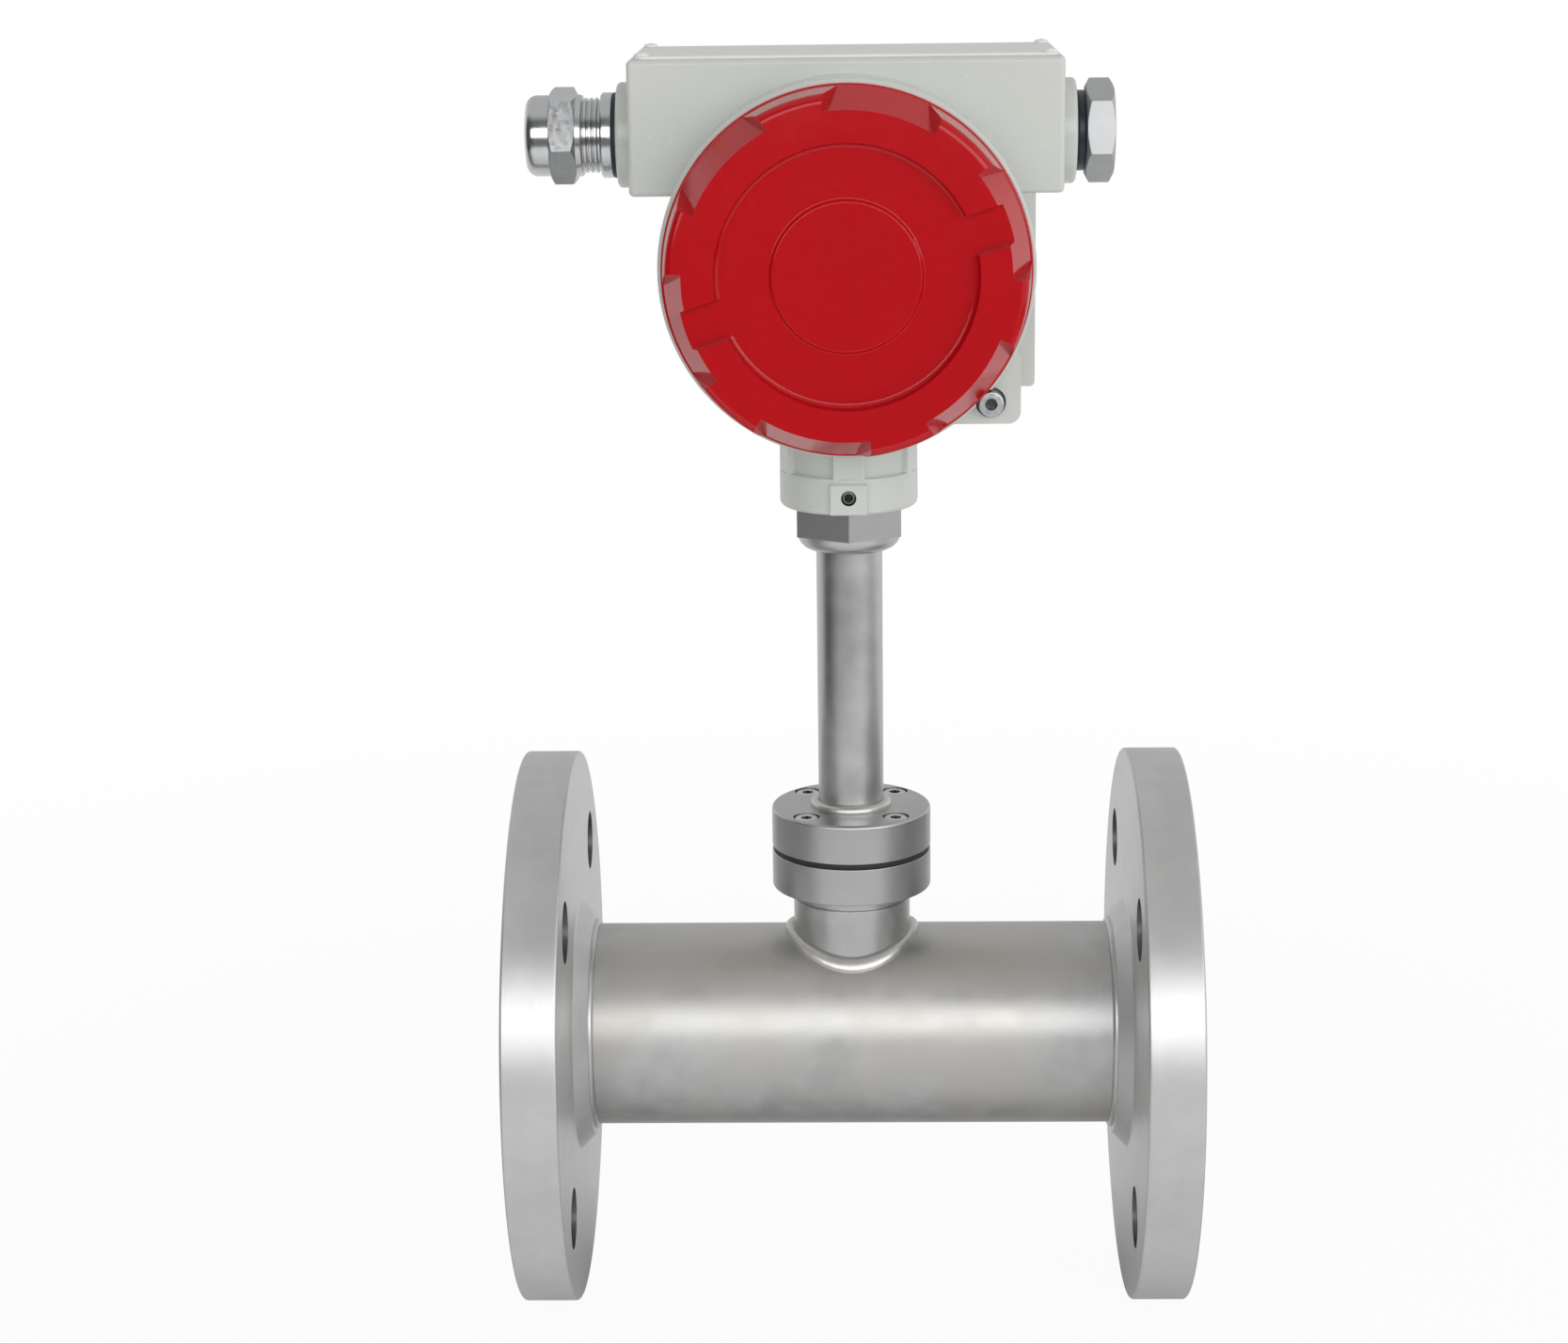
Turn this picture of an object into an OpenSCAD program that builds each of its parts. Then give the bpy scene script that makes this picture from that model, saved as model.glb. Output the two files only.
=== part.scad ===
// Thermal mass flow meter for gas: a flanged pipe spool with a branch, a bolted sensor
// insert, a stem, and a two-compartment housing that turns on its neck.
// The origin is the centre of the inlet sealing face. +X runs downstream and +Z is up.

/* [Flow tube] */
// Length between the two sealing faces
face_to_face = 200; // [190:1:300]
// Outside diameter of the pipe
pipe_od = 60.3; // [56:0.1:64]
// Wall of the pipe
pipe_wall = 3.9; // [3:0.1:5]
// How far each pipe end stays back from the sealing face
pipe_setback = 5; // [4:0.5:8]

/* [Pipe flanges] */
// Outside diameter of the pipe flanges
flange_od = 165; // [155:1:180]
// Thickness of a pipe flange without its raised face
flange_thick = 16; // [12:0.5:22]
// Gap between the raised sealing face and the bolt holes
raised_face_gap = 2.5; // [1:0.5:6]
// Height of the raised sealing face
raised_face_height = 2; // [1:0.5:3]
// Diameter of the hub where it leaves the flange
hub_od = 75; // [70:1:84]
// Height of the tapered hub
hub_height = 4.5; // [3:0.5:12]
// Wall of the hub at its thin end
hub_end_wall = 2.6; // [2:0.1:4]
// Land between a bolt hole and the flange's edge
bolt_hole_land = 11; // [9:0.5:14]
// Diameter of the bolt holes
bolt_hole_d = 18; // [14:0.5:19]
// Number of bolt holes in each flange
bolt_count = 4; // [4, 8]
// Gap all round between the pipe and the flange bore
slip_gap = 0.35; // [0.2:0.05:0.6]
// Leg of the welds that hold the flanges
flange_weld_leg = 2.4; // [1.5:0.1:3]

/* [Branch and sensor flanges] */
// Outside diameter of the branch
branch_od = 34.6; // [32:0.2:36]
// Bore of the branch, the lower flange and the pipe's side hole
branch_bore = 24.4; // [24:0.1:26]
// Height of the branch above the top of the pipe
branch_rise = 14.45; // [10:0.5:30]
// Leg of the weld round the foot of the branch
branch_weld_leg = 2.6; // [1.5:0.1:4]
// Diameter of the two sensor flanges
sensor_flange_od = 47; // [46:0.5:54]
// Thickness of the lower sensor flange
lower_flange_thick = 11.1; // [10:0.1:15]
// Thickness of the upper sensor flange
upper_flange_thick = 11.7; // [9:0.1:15]
// Thickness of the gasket between them
gasket_thick = 1.6; // [1:0.1:3]
// How far the gasket stays inside the flange edge
gasket_inset = 0.6; // [0.2:0.1:1.5]
// Diameter of the circle of flange screws
flange_screw_circle = 37; // [36:0.5:38]
// Number of flange screws
flange_screw_count = 4; // [3:1:6]

/* [Stem and neck] */
// Outside diameter of the stem
stem_od = 19.2; // [17:0.2:22]
// Wall of the stem
stem_wall = 2; // [1.5:0.1:3]
// Length of the stem between the upper flange and the adapter
stem_length = 78; // [50:1:250]
// Size across the flats of the hexagon under the housing
neck_hex_af = 30; // [28:0.5:34]
// Height of the hexagon
neck_hex_height = 9.8; // [8:0.2:14]
// Height of the taper under the hexagon
neck_taper_height = 3; // [2:0.5:6]
// Diameter of the spigot that the housing turns on
spigot_d = 24; // [20:0.5:26]
// Length of that spigot
spigot_length = 18; // [14:0.5:19]

/* [Sensor] */
// Diameter of the sensor body in the branch
sensor_body_d = 23.6; // [22:0.1:23.8]
// Diameter of the two probe sheaths
probe_d = 4; // [3:0.1:5]
// Distance between the two probe sheaths
probe_spacing = 9; // [7:0.5:10]
// How far the probe tips reach past the pipe's centreline
probe_past_centre = 6; // [0:0.5:10]
// How far the guard reaches past the probe tips
guard_past_tip = 4; // [2:0.5:6]
// Diameter of the sensor cable in the stem
sensor_cable_d = 5; // [4:0.2:6]

/* [Housing] */
// Diameter of the drum that carries the two covers
drum_d = 102.8; // [100:0.2:110]
// Length of the drum from front face to rear face
drum_length = 90; // [88:1:100]
// Height of the neck between the hexagon and the drum
neck_height = 21.6; // [21:0.1:30]
// Diameter of the neck's clamp ring
neck_ring_d = 40; // [38:0.5:42]
// Height of the neck's clamp ring
neck_ring_height = 10.7; // [9:0.1:12]
// Width of the box across the top
box_width = 119.6; // [118:0.5:130]
// Depth of the box from front to rear
box_depth = 55; // [52:0.5:60]
// Height of the box
box_height = 37; // [36:0.5:42]
// Height of the box's top above the top of the drum
box_over_drum = 4.1; // [3:0.1:8]
// Diameter of the cable entry bosses
entry_boss_d = 29.4; // [28:0.2:31]
// Length of the cable entry bosses
entry_boss_length = 4.5; // [4:0.1:8]
// Thread diameter of the cable entries
entry_thread_d = 20; // [18:0.5:21]
// Distance of the flat side pad from the drum's centre
side_pad_x = 52; // [51:0.5:54]
// Thickness of the wall between the two compartments
divider_thick = 5; // [4:0.5:7]
// Distance of the divider from the drum's middle plane
divider_offset = 11; // [11:0.5:13]

/* [Covers] */
// Diameter of the lip round each cover
cover_lip_d = 100.6; // [99:0.2:108]
// Thickness of that lip
cover_lip_thick = 3.4; // [2.5:0.1:5]
// Height of a cover above the drum's face
cover_height = 16.5; // [15.5:0.1:20]
// Number of gripping notches round each cover
notch_count = 6; // [4:1:8]
// Diameter of the cover's face inside the notches
cover_face_d = 88.4; // [86:0.2:92]
// Diameter of the sunk centre of the front cover
cover_centre_d = 70.4; // [66:0.2:74]
// Depth of that sunk centre
cover_centre_depth = 3.2; // [2:0.1:4]
// Width of the two channels for a bar across the front cover
bar_channel_width = 10.4; // [8:0.1:12]
// Diameter of the raised disc in the middle of the front cover
centre_disc_d = 40; // [30:0.5:46]
// Height of that disc
centre_disc_height = 0.8; // [0.4:0.1:1.5]
// Outside diameter of the threaded skirt of a cover
skirt_d = 87; // [86:0.2:88]
// Wall of that skirt
skirt_wall = 3.6; // [3:0.1:4]
// Length of that skirt inside the drum
skirt_length = 13.4; // [12:0.2:14]
// Diameter of the opening for the window in the rear cover
window_opening_d = 64; // [60:0.5:66]
// Thickness of the window glass
window_thick = 6; // [5:0.5:7]

/* [Cable gland and plug] */
// Diameter of the gland body's flange
gland_flange_d = 23.8; // [22.4:0.2:26]
// Thickness of that flange
gland_flange_thick = 3.4; // [2.5:0.1:5]
// Thickness of the black washer under the gland
gland_washer_thick = 1.2; // [1:0.1:2.5]
// Size across the flats of the gland nut
gland_nut_af = 24; // [23.6:0.2:26]
// Length of the nut's hexagon
gland_nut_hex = 7.5; // [6:0.1:10]
// Length of the rounded nose of the nut
gland_nose_length = 6.8; // [6:0.1:9]
// Diameter of the cable hole in the gland's seal
cable_hole_d = 9; // [6:0.5:10]
// Size across the flats of the blanking plug
plug_af = 25.2; // [24:0.2:27]
// Thickness of the blanking plug's head
plug_head_height = 7.9; // [6:0.1:10]
// Thickness of the ring under the blanking plug
plug_ring_thick = 2.7; // [1.5:0.1:3.5]
// Outside diameter of that ring
plug_ring_d = 22.4; // [21.8:0.2:24]

/* [Electronics] */
// Thickness of the circuit boards
board_thick = 1.6; // [1:0.1:2]
// Number of ways in the terminal block
terminal_count = 8; // [4:1:8]
// Spacing of the terminals
terminal_pitch = 6.6; // [6:0.1:6.8]
// Width of the display glass
lcd_width = 46; // [40:0.5:48]
// Height of the display glass
lcd_height = 24; // [20:0.5:26]
// Diameter of the three keys
key_d = 7; // [6:0.2:8]
// Spacing of the three keys
key_pitch = 13; // [12:0.5:15]

/* [Hidden] */
$fn = 96;

// Overrun of every cut past the face that it opens
cut = 1;
// Gap between welded or pressed curved faces
seam_gap = 0.05;
// Radial gap of the housing on its spigot
swivel_gap = 0.05;
// Axial gap between parts that turn on each other
face_gap = 0.2;
// Radial gap between a thread and its hole
thread_gap = 0.08;
// Chamfer on machined edges
edge_break = 0.6;
// Chamfer on cast and painted edges
cast_edge = 1.2;
// Pitch and depth of the rings that stand for fine threads
thread_pitch = 1.5;
thread_depth = 0.6;

// Pipe and flanges
pipe_r = pipe_od / 2;
bore_r = pipe_r - pipe_wall;
flange_bore_r = pipe_r + slip_gap;
flange_back = raised_face_height + flange_thick;
bolt_circle = flange_od - 2 * bolt_hole_land - bolt_hole_d;
raised_face_od = bolt_circle - bolt_hole_d - 2 * raised_face_gap;
hub_end = flange_back + hub_height;
hub_end_r = flange_bore_r + hub_end_wall;
stem_x = face_to_face / 2;

// Share of the pipe's end face that the inside weld covers
weld_cover_share = 0.5;

// Stack of the branch, the sensor flanges, the stem and the neck
branch_top = pipe_r + branch_rise;
branch_neck_depth = 0.7;
branch_neck_height = 1.6;
gasket_bottom = branch_top + lower_flange_thick;
gasket_top = gasket_bottom + gasket_thick;
stem_base = gasket_top + upper_flange_thick;
stem_top = stem_base + stem_length;
hex_bottom = stem_top + neck_taper_height;
hex_top = hex_bottom + neck_hex_height;
neck_bottom = hex_top + face_gap;
drum_r = drum_d / 2;
drum_z = neck_bottom + neck_height + drum_r;
spigot_top = hex_top + spigot_length;
neck_hex_turn = 30;
stem_weld_leg = 2.2;
taper_end_r = stem_od / 2 + 1.2 * edge_break;
cable_bore_r = sensor_cable_d / 2 + 2 * face_gap;

// Socket head screws of the sensor flanges
m4_d = 4;
m4_head_d = 7;
m4_head_height = 4;
m4_socket_af = 3;
m4_socket_depth = 2.2;
flange_screw_length = 16;
counterbore_d = 7.8;
counterbore_depth = 4.3;
tapped_depth = flange_screw_length - (upper_flange_thick - counterbore_depth) - gasket_thick
    + edge_break;

// Sensor insert
sensor_seal_section = 2.4;
sensor_seal_groove_depth = 2.5;
sensor_body_reach = 3;
sensor_body_bottom = bore_r - sensor_body_reach;
probe_tip = -probe_past_centre;
guard_bottom = probe_tip - guard_past_tip;
guard_ring_height = 2.5;
guard_ring_width = 2.4;
guard_leg_width = 5;
guard_leg_thick = 2.2;
sensor_plug_d = 9;
sensor_plug_height = 8;

// Housing
drum_half = drum_length / 2;
box_top = drum_z + drum_r + box_over_drum;
box_bottom = box_top - box_height;
box_corner = 2.2;
entry_z = box_bottom + entry_boss_d / 2;
entry_face = box_width / 2 + entry_boss_length;
lead_hole_d = 12;
neck_ring_step = 1.6;
neck_core_d = neck_ring_d - 2 * neck_ring_step;
neck_rib_count = 5;
neck_rib_width = 8.7;
clamp_pad_width = 10;
clamp_pad_height = 8.8;
clamp_pad_proud = 0.7;
clamp_screw_z = neck_bottom + neck_ring_height / 2;
spigot_groove_height = 4;
spigot_groove_depth = 1;
clamp_point_d = 2.5;
skirt_r = skirt_d / 2;
mouth_r = skirt_r + thread_gap;
seal_section = 2.4;
seal_seat_r = mouth_r + seal_section + 2 * thread_gap;
seal_seat_depth = seal_section + face_gap;
mouth_depth = skirt_length + 2 * face_gap;
mouth_shoulder = 2.6;
cavity_r = mouth_r - mouth_shoulder;
box_wall_end = 8;
box_wall_front = 5.5;
box_wall_top = 4;
box_wall_bottom = 4.5;
chamber_floor = box_bottom + box_wall_bottom;
side_pad_drop = 35;
lock_screw_turn = 43.3;
lock_screw_gap = 0.1;
lock_screw_r = max(cover_lip_d / 2, seal_seat_r) + m4_head_d / 2 + lock_screw_gap;
lock_screw_x = lock_screw_r * cos(lock_screw_turn);
lock_screw_drop = lock_screw_r * sin(lock_screw_turn);
lug_inner_x = 28;
lug_side_wall = 8.3;
lug_bottom_wall = 6;
lug_outer_x = lock_screw_x + lug_side_wall;
lug_bottom_drop = lock_screw_drop + lug_bottom_wall;
lug_top_drop = 25;
lug_half = drum_half - m4_head_height - face_gap;
lug_corner = 4.5;
lock_screw_length = 12;

// Covers
cap_face = cover_height;
lip_base = face_gap;
lip_top = lip_base + cover_lip_thick;
notch_width_share = 0.55;
notch_turn = 18;
lug_round = 2.4;
lug_inset = 0.5;
cover_wall = 5;
skirt_inner_r = skirt_r - skirt_wall;
centre_fillet = 1.2;
window_seat_width = 3.4;
window_r = window_opening_d / 2 + window_seat_width;
window_face_wall = 2.6;
window_ring_height = 3.6;
window_ring_wall = 5;
window_gasket_thick = 1.2;
window_seat = cap_face - window_face_wall;

// Gland and plug
gland_neck_start = gland_washer_thick + gland_flange_thick;
gland_thread_r = entry_thread_d / 2 - thread_gap;
gland_neck_r = entry_thread_d / 2 - 2 * thread_gap;
gland_bore_r = 7.4;
gland_neck_bare = 5.2;
gland_nut_start = gland_neck_start + gland_neck_bare;
gland_skirt_length = 1.6;
gland_nut_hex_start = gland_nut_start + gland_skirt_length;
gland_nose_start = gland_nut_hex_start + gland_nut_hex;
gland_nut_end = gland_nose_start + gland_nose_length;
gland_skirt_r = 11.5;
gland_nose_r = 11.3;
gland_nut_turn = 16.5;
plug_turn = -7.7;
gland_nose_round = 3;
gland_nut_bore_r = gland_neck_r + thread_gap;
gland_opening_r = 6.3;
gland_neck_length = 11.6;
gland_body_end = gland_neck_start + gland_neck_length;
gland_thread_in = 11;
gland_seal_collar = 2.6;
gland_seal_depth = 6;
slip_washer_thick = 1;
plug_thread_in = 11;

// Nameplate
nameplate_width = 116.4;
nameplate_depth = 49;
nameplate_thick = 0.8;
nameplate_corner = 3;
rivet_x = 55.8;
rivet_y = 21.6;
rivet_d = 4.4;
rivet_height = 1.1;

// Terminal compartment
board_gap = 3.4;
terminal_board_r = cavity_r - board_gap;
terminal_board_y = -10.4;
terminal_board_top = 17;
standoff_d = 6;
standoff_x = 27;
standoff_up = 12.4;
standoff_down = 16;
terminal_depth = 11;
terminal_height = 13;
terminal_drop = 6;
terminal_wall = 1.2;
terminal_slot_height = 5;
m3_d = 3;
m3_head_d = 5.6;
m3_head_height = 1.8;
m3_length = 8;
slot_width = 0.9;
slot_depth = 0.9;
earth_x = 14;
earth_rise = 26;
washer_d = 9;
washer_thick = 1;
lead_d = 5;
lead_bend = 10;
feedthrough_drop = 22;
feedthrough_d = 11;
feedthrough_rim = 1.5;

// Display compartment
divider_rear = divider_offset + divider_thick;
power_board_r = cavity_r - board_gap;
power_board_gap = 5;
board_spacing = 10;
display_inset = 2;
power_board_y = divider_rear + power_board_gap;
power_board_top = power_board_y + board_thick;
display_board_r = cavity_r - board_gap - display_inset;
display_board_y = power_board_top + board_spacing;
display_board_top = display_board_y + board_thick;
bezel_r = display_board_r;
bezel_wall = 2;
bezel_depth = 7;
bezel_plate = 1.8;
lcd_depth = bezel_depth - bezel_plate;
bezel_face = display_board_top + bezel_depth;
lcd_rise = 8;
lcd_frame = 1.6;
key_drop = 19;
key_travel = 0.6;
key_proud = 1.2;
key_rim = 0.8;
key_rim_thick = 1;
key_gap = 0.15;
key_bottom = bezel_face - bezel_plate - key_rim_thick - face_gap;
switch_size = 6;
display_post_x = 26;
display_post_z = 14;
stud_depth = 2;
terminal_board_top_y = board_thick - terminal_board_y;
capacitor_x = 9;
capacitor_y = 6;
capacitor_d = 8;
capacitor_height = 8;
chip_size = 12;
chip_height = 1.6;
header_width = 20;
header_depth = 5;
header_y = 22;

// Points of an arc about [x, y] from angle a to angle b, in n steps
function arc(x, y, r, a, b, n = 5) =
    [for (i = [0 : n]) [x + r * cos(a + (b - a) * i / n), y + r * sin(a + (b - a) * i / n)]];

// Rings of a stand-in thread of crest radius r from height z up
function thread_rings(r, z, count) =
    [for (i = [0 : count - 1]) each [[r, z + i * thread_pitch],
        [r - thread_depth, z + (i + 0.5) * thread_pitch]]];

// Placing

module at_stem() {
    translate([stem_x, 0, 0]) children();
}

module along_x(x = 0) {
    translate([x, 0, 0]) rotate([0, 90, 0]) children();
}

module along_minus_x(x = 0) {
    translate([x, 0, 0]) rotate([0, -90, 0]) children();
}

// Local +Z points out of the front of the drum, with the drum's middle at zero
module facing_front() {
    translate([stem_x, 0, drum_z]) rotate([90, 0, 0]) children();
}

module facing_rear() {
    translate([stem_x, 0, drum_z]) rotate([90, 0, 180]) children();
}

module on_circle(count, diameter, turn = 0) {
    for (i = [0 : count - 1])
        rotate([0, 0, turn + i * 360 / count]) translate([diameter / 2, 0, 0]) children();
}

// Shared shapes

module ring(outer_d, inner_d, height) {
    difference() {
        cylinder(d = outer_d, h = height);
        translate([0, 0, -cut]) cylinder(d = inner_d, h = height + 2 * cut);
    }
}

module hexagon(af, height) {
    cylinder(r = af / sqrt(3), h = height, $fn = 6);
}

// A hexagon whose corners are turned down at the ends that are asked for
module turned_hexagon(af, height, low = true, high = true) {
    corner_r = af / sqrt(3);
    drop = corner_r - af / 2;
    intersection() {
        hexagon(af, height);
        rotate_extrude() polygon([
            [0, 0], [low ? af / 2 : corner_r, 0], [corner_r, low ? drop * tan(30) : 0],
            [corner_r, height - (high ? drop * tan(30) : 0)],
            [high ? af / 2 : corner_r, height], [0, height]]);
    }
}

module rounded_square(width, height, corner) {
    square([width - 2 * corner, height], center = true);
    square([width, height - 2 * corner], center = true);
    for (x = [-1, 1], y = [-1, 1])
        translate([x * (width / 2 - corner), y * (height / 2 - corner)]) circle(r = corner);
}

module torus(middle_r, section_d) {
    rotate_extrude() translate([middle_r, 0]) circle(d = section_d);
}

// A hexagon socket screw with the underside of its head at zero and its shank below
module socket_screw(length) {
    difference() {
        union() {
            rotate_extrude() polygon([
                [0, 0], [m4_head_d / 2, 0], [m4_head_d / 2, m4_head_height - edge_break / 2],
                [m4_head_d / 2 - edge_break / 2, m4_head_height], [0, m4_head_height]]);
            translate([0, 0, -length]) cylinder(d = m4_d - 2 * seam_gap, h = length + edge_break);
        }
        translate([0, 0, m4_head_height - m4_socket_depth])
            hexagon(m4_socket_af, m4_socket_depth + cut);
    }
}

// A slotted pan head screw, placed in the same way
module pan_screw(length, turn = 30) {
    difference() {
        union() {
            rotate_extrude() polygon(concat(
                [[0, 0], [m3_head_d / 2, 0]],
                arc(m3_head_d / 2 - edge_break, m3_head_height - edge_break, edge_break, 0, 90),
                [[0, m3_head_height]]));
            translate([0, 0, -length]) cylinder(d = m3_d - 2 * seam_gap, h = length + edge_break);
        }
        rotate([0, 0, turn]) translate([-m3_head_d, -slot_width / 2, m3_head_height - slot_depth])
            cube([2 * m3_head_d, slot_width, slot_depth + cut]);
    }
}

// Flow tube

module flow_pipe() color("#b4b6b6") difference() {
    along_x(pipe_setback) ring(pipe_od, 2 * bore_r, face_to_face - 2 * pipe_setback);
    at_stem() cylinder(d = branch_bore, h = pipe_r + cut);
}

module pipe_flange() {
    edge_r = flange_od / 2;
    difference() {
        rotate_extrude() polygon([
            [flange_bore_r, 0], [raised_face_od / 2, 0], [raised_face_od / 2, raised_face_height],
            [edge_r - edge_break, raised_face_height],
            [edge_r, raised_face_height + edge_break], [edge_r, flange_back - edge_break],
            [edge_r - edge_break, flange_back], [hub_od / 2, flange_back],
            [hub_end_r, hub_end], [flange_bore_r, hub_end]]);
        on_circle(bolt_count, bolt_circle, 45) translate([0, 0, -cut])
            cylinder(d = bolt_hole_d, h = hub_end + 2 * cut);
    }
}

// Weld in the corner between the hub's end and the pipe, and the one round the pipe's end
module flange_weld_pair() {
    rotate_extrude() polygon([
        [pipe_r + seam_gap, hub_end], [hub_end_r, hub_end],
        [pipe_r + seam_gap, hub_end + flange_weld_leg]]);
    rotate_extrude() polygon([
        [pipe_r - pipe_wall * weld_cover_share, pipe_setback],
        [flange_bore_r - seam_gap, pipe_setback - flange_weld_leg],
        [flange_bore_r - seam_gap, pipe_setback]]);
}

module inlet_flange() color("#b9bcbd") along_x() pipe_flange();

module outlet_flange() color("#b9bcbd") along_minus_x(face_to_face) pipe_flange();

module flange_welds() color("#c4c3bf") {
    along_x() flange_weld_pair();
    along_minus_x(face_to_face) flange_weld_pair();
}

// Branch, sensor flanges and gasket

module pipe_solid(extra = 0) {
    along_x(-cut) cylinder(r = pipe_r + extra, h = face_to_face + 2 * cut);
}

module branch_stub() color("#aeb0b0") difference() {
    at_stem() rotate_extrude() polygon([
        [branch_bore / 2, 0], [branch_od / 2, 0],
        [branch_od / 2, branch_top - branch_neck_height],
        [branch_od / 2 - branch_neck_depth, branch_top - branch_neck_height],
        [branch_od / 2 - branch_neck_depth, branch_top], [branch_bore / 2, branch_top]]);
    pipe_solid(seam_gap);
}

module branch_weld() color("#cfcecb") difference() {
    intersection() {
        at_stem() cylinder(r1 = branch_od / 2 + 2 * branch_weld_leg, r2 = branch_od / 2 + seam_gap,
            h = pipe_r + branch_weld_leg);
        pipe_solid(branch_weld_leg);
    }
    at_stem() translate([0, 0, -cut])
        cylinder(r = branch_od / 2 + seam_gap, h = branch_top + cut);
    pipe_solid(seam_gap);
}

module lower_sensor_flange() color("#a9abab") at_stem() translate([0, 0, branch_top])
    difference() {
        ring(sensor_flange_od, branch_bore, lower_flange_thick);
        translate([0, 0, lower_flange_thick]) flange_screw_places()
            translate([0, 0, -tapped_depth]) cylinder(d = m4_d, h = tapped_depth + cut);
    }

module flange_screw_places() {
    on_circle(flange_screw_count, flange_screw_circle, 45) children();
}

module sensor_gasket() color("#17181a") at_stem() translate([0, 0, gasket_bottom])
    difference() {
        ring(sensor_flange_od - 2 * gasket_inset, branch_bore, gasket_thick);
        flange_screw_places() translate([0, 0, -cut])
            cylinder(d = m4_d + 2 * gasket_inset, h = gasket_thick + 2 * cut);
    }

module upper_sensor_flange() color("#a4a6a7") at_stem() translate([0, 0, gasket_top])
    difference() {
        edge_r = sensor_flange_od / 2;
        rotate_extrude() polygon([
            [cable_bore_r, 0], [edge_r, 0], [edge_r, upper_flange_thick - edge_break],
            [edge_r - edge_break, upper_flange_thick], [cable_bore_r, upper_flange_thick]]);
        flange_screw_places() {
            translate([0, 0, -cut])
                cylinder(d = m4_d + 2 * thread_gap, h = upper_flange_thick + 2 * cut);
            translate([0, 0, upper_flange_thick - counterbore_depth])
                cylinder(d = counterbore_d, h = counterbore_depth + cut);
        }
    }

module sensor_flange_screws() color("#c9cbcc")
    at_stem() translate([0, 0, stem_base - counterbore_depth])
        flange_screw_places() socket_screw(flange_screw_length);

// Stem and adapter

module stem_tube() color("#abadae") at_stem() translate([0, 0, stem_base])
    ring(stem_od, stem_od - 2 * stem_wall, stem_length);

module stem_weld() color("#c2c1bd") at_stem() translate([0, 0, stem_base])
    rotate_extrude() polygon([
        [stem_od / 2 + seam_gap, 0], [stem_od / 2 + stem_weld_leg, 0],
        [stem_od / 2 + seam_gap, stem_weld_leg]]);

module hex_adapter() color("#8f9396") at_stem() difference() {
    groove_z = clamp_screw_z - spigot_groove_height / 2;
    union() {
        translate([0, 0, stem_top]) cylinder(r1 = taper_end_r,
            r2 = neck_hex_af / 2 - edge_break, h = neck_taper_height);
        translate([0, 0, hex_bottom]) rotate([0, 0, neck_hex_turn])
            turned_hexagon(neck_hex_af, neck_hex_height, high = false);
        translate([0, 0, stem_top]) cylinder(d = stem_od, h = spigot_top - stem_top);
        translate([0, 0, hex_top]) cylinder(d = spigot_d, h = spigot_length);
    }
    translate([0, 0, stem_top - cut])
        cylinder(r = cable_bore_r, h = spigot_top - stem_top + 2 * cut);
    translate([0, 0, groove_z])
        ring(spigot_d + cut, spigot_d - 2 * spigot_groove_depth, spigot_groove_height);
}

// Sensor insert

module sensor_body() color("#b0b2b3") at_stem() difference() {
    groove_z = gasket_bottom - lower_flange_thick / 2;
    translate([0, 0, sensor_body_bottom])
        cylinder(d = sensor_body_d, h = gasket_top - sensor_body_bottom);
    translate([0, 0, groove_z - sensor_seal_section / 2 - seam_gap])
        ring(sensor_body_d + cut, sensor_body_d - 2 * sensor_seal_groove_depth,
            sensor_seal_section + 2 * seam_gap);
    translate([0, 0, gasket_bottom]) cylinder(r = cable_bore_r, h = gasket_thick + cut);
}

module sensor_o_ring() color("#1a1a1c") at_stem()
    translate([0, 0, gasket_bottom - lower_flange_thick / 2])
        torus(branch_bore / 2 - sensor_seal_section / 2 - seam_gap, sensor_seal_section);

module probe_sheath() {
    rotate_extrude() polygon(concat(
        [[0, sensor_body_bottom]], arc(0, probe_tip + probe_d / 2, probe_d / 2, -90, 0),
        [[probe_d / 2, sensor_body_bottom]]));
}

module heated_probe() color("#c3c5c6") at_stem()
    translate([0, -probe_spacing / 2, 0]) probe_sheath();

module reference_probe() color("#c3c5c6") at_stem()
    translate([0, probe_spacing / 2, 0]) probe_sheath();

module probe_guard() color("#a7a9aa") at_stem() {
    reach = sensor_body_d / 2 - seam_gap;
    translate([0, 0, guard_bottom])
        ring(2 * reach, 2 * (reach - guard_ring_width), guard_ring_height);
    intersection() {
        for (side = [-1, 1])
            translate([-guard_leg_width / 2, side * (reach - guard_leg_thick / 2)
                - guard_leg_thick / 2, guard_bottom])
                cube([guard_leg_width, guard_leg_thick, sensor_body_bottom - guard_bottom]);
        translate([0, 0, guard_bottom]) cylinder(r = reach, h = sensor_body_bottom - guard_bottom);
    }
}

module sensor_cable() color("#2b2c2e") at_stem() translate([0, 0, gasket_bottom])
    cylinder(d = sensor_cable_d, h = spigot_top - gasket_bottom);

module sensor_plug() color("#e4e1d6") at_stem() translate([0, 0, spigot_top])
    rotate_extrude() polygon([
        [0, 0], [sensor_plug_d / 2, 0], [sensor_plug_d / 2, sensor_plug_height - edge_break],
        [sensor_plug_d / 2 - edge_break, sensor_plug_height], [0, sensor_plug_height]]);

// Housing

module box_solid() {
    translate([0, 0, (box_bottom + box_top) / 2]) intersection() {
        rotate([90, 0, 0]) linear_extrude(height = box_depth, center = true)
            rounded_square(box_width, box_height, box_corner);
        rotate([90, 0, 90]) linear_extrude(height = box_width, center = true)
            rounded_square(box_depth, box_height, cast_edge);
    }
}

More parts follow.
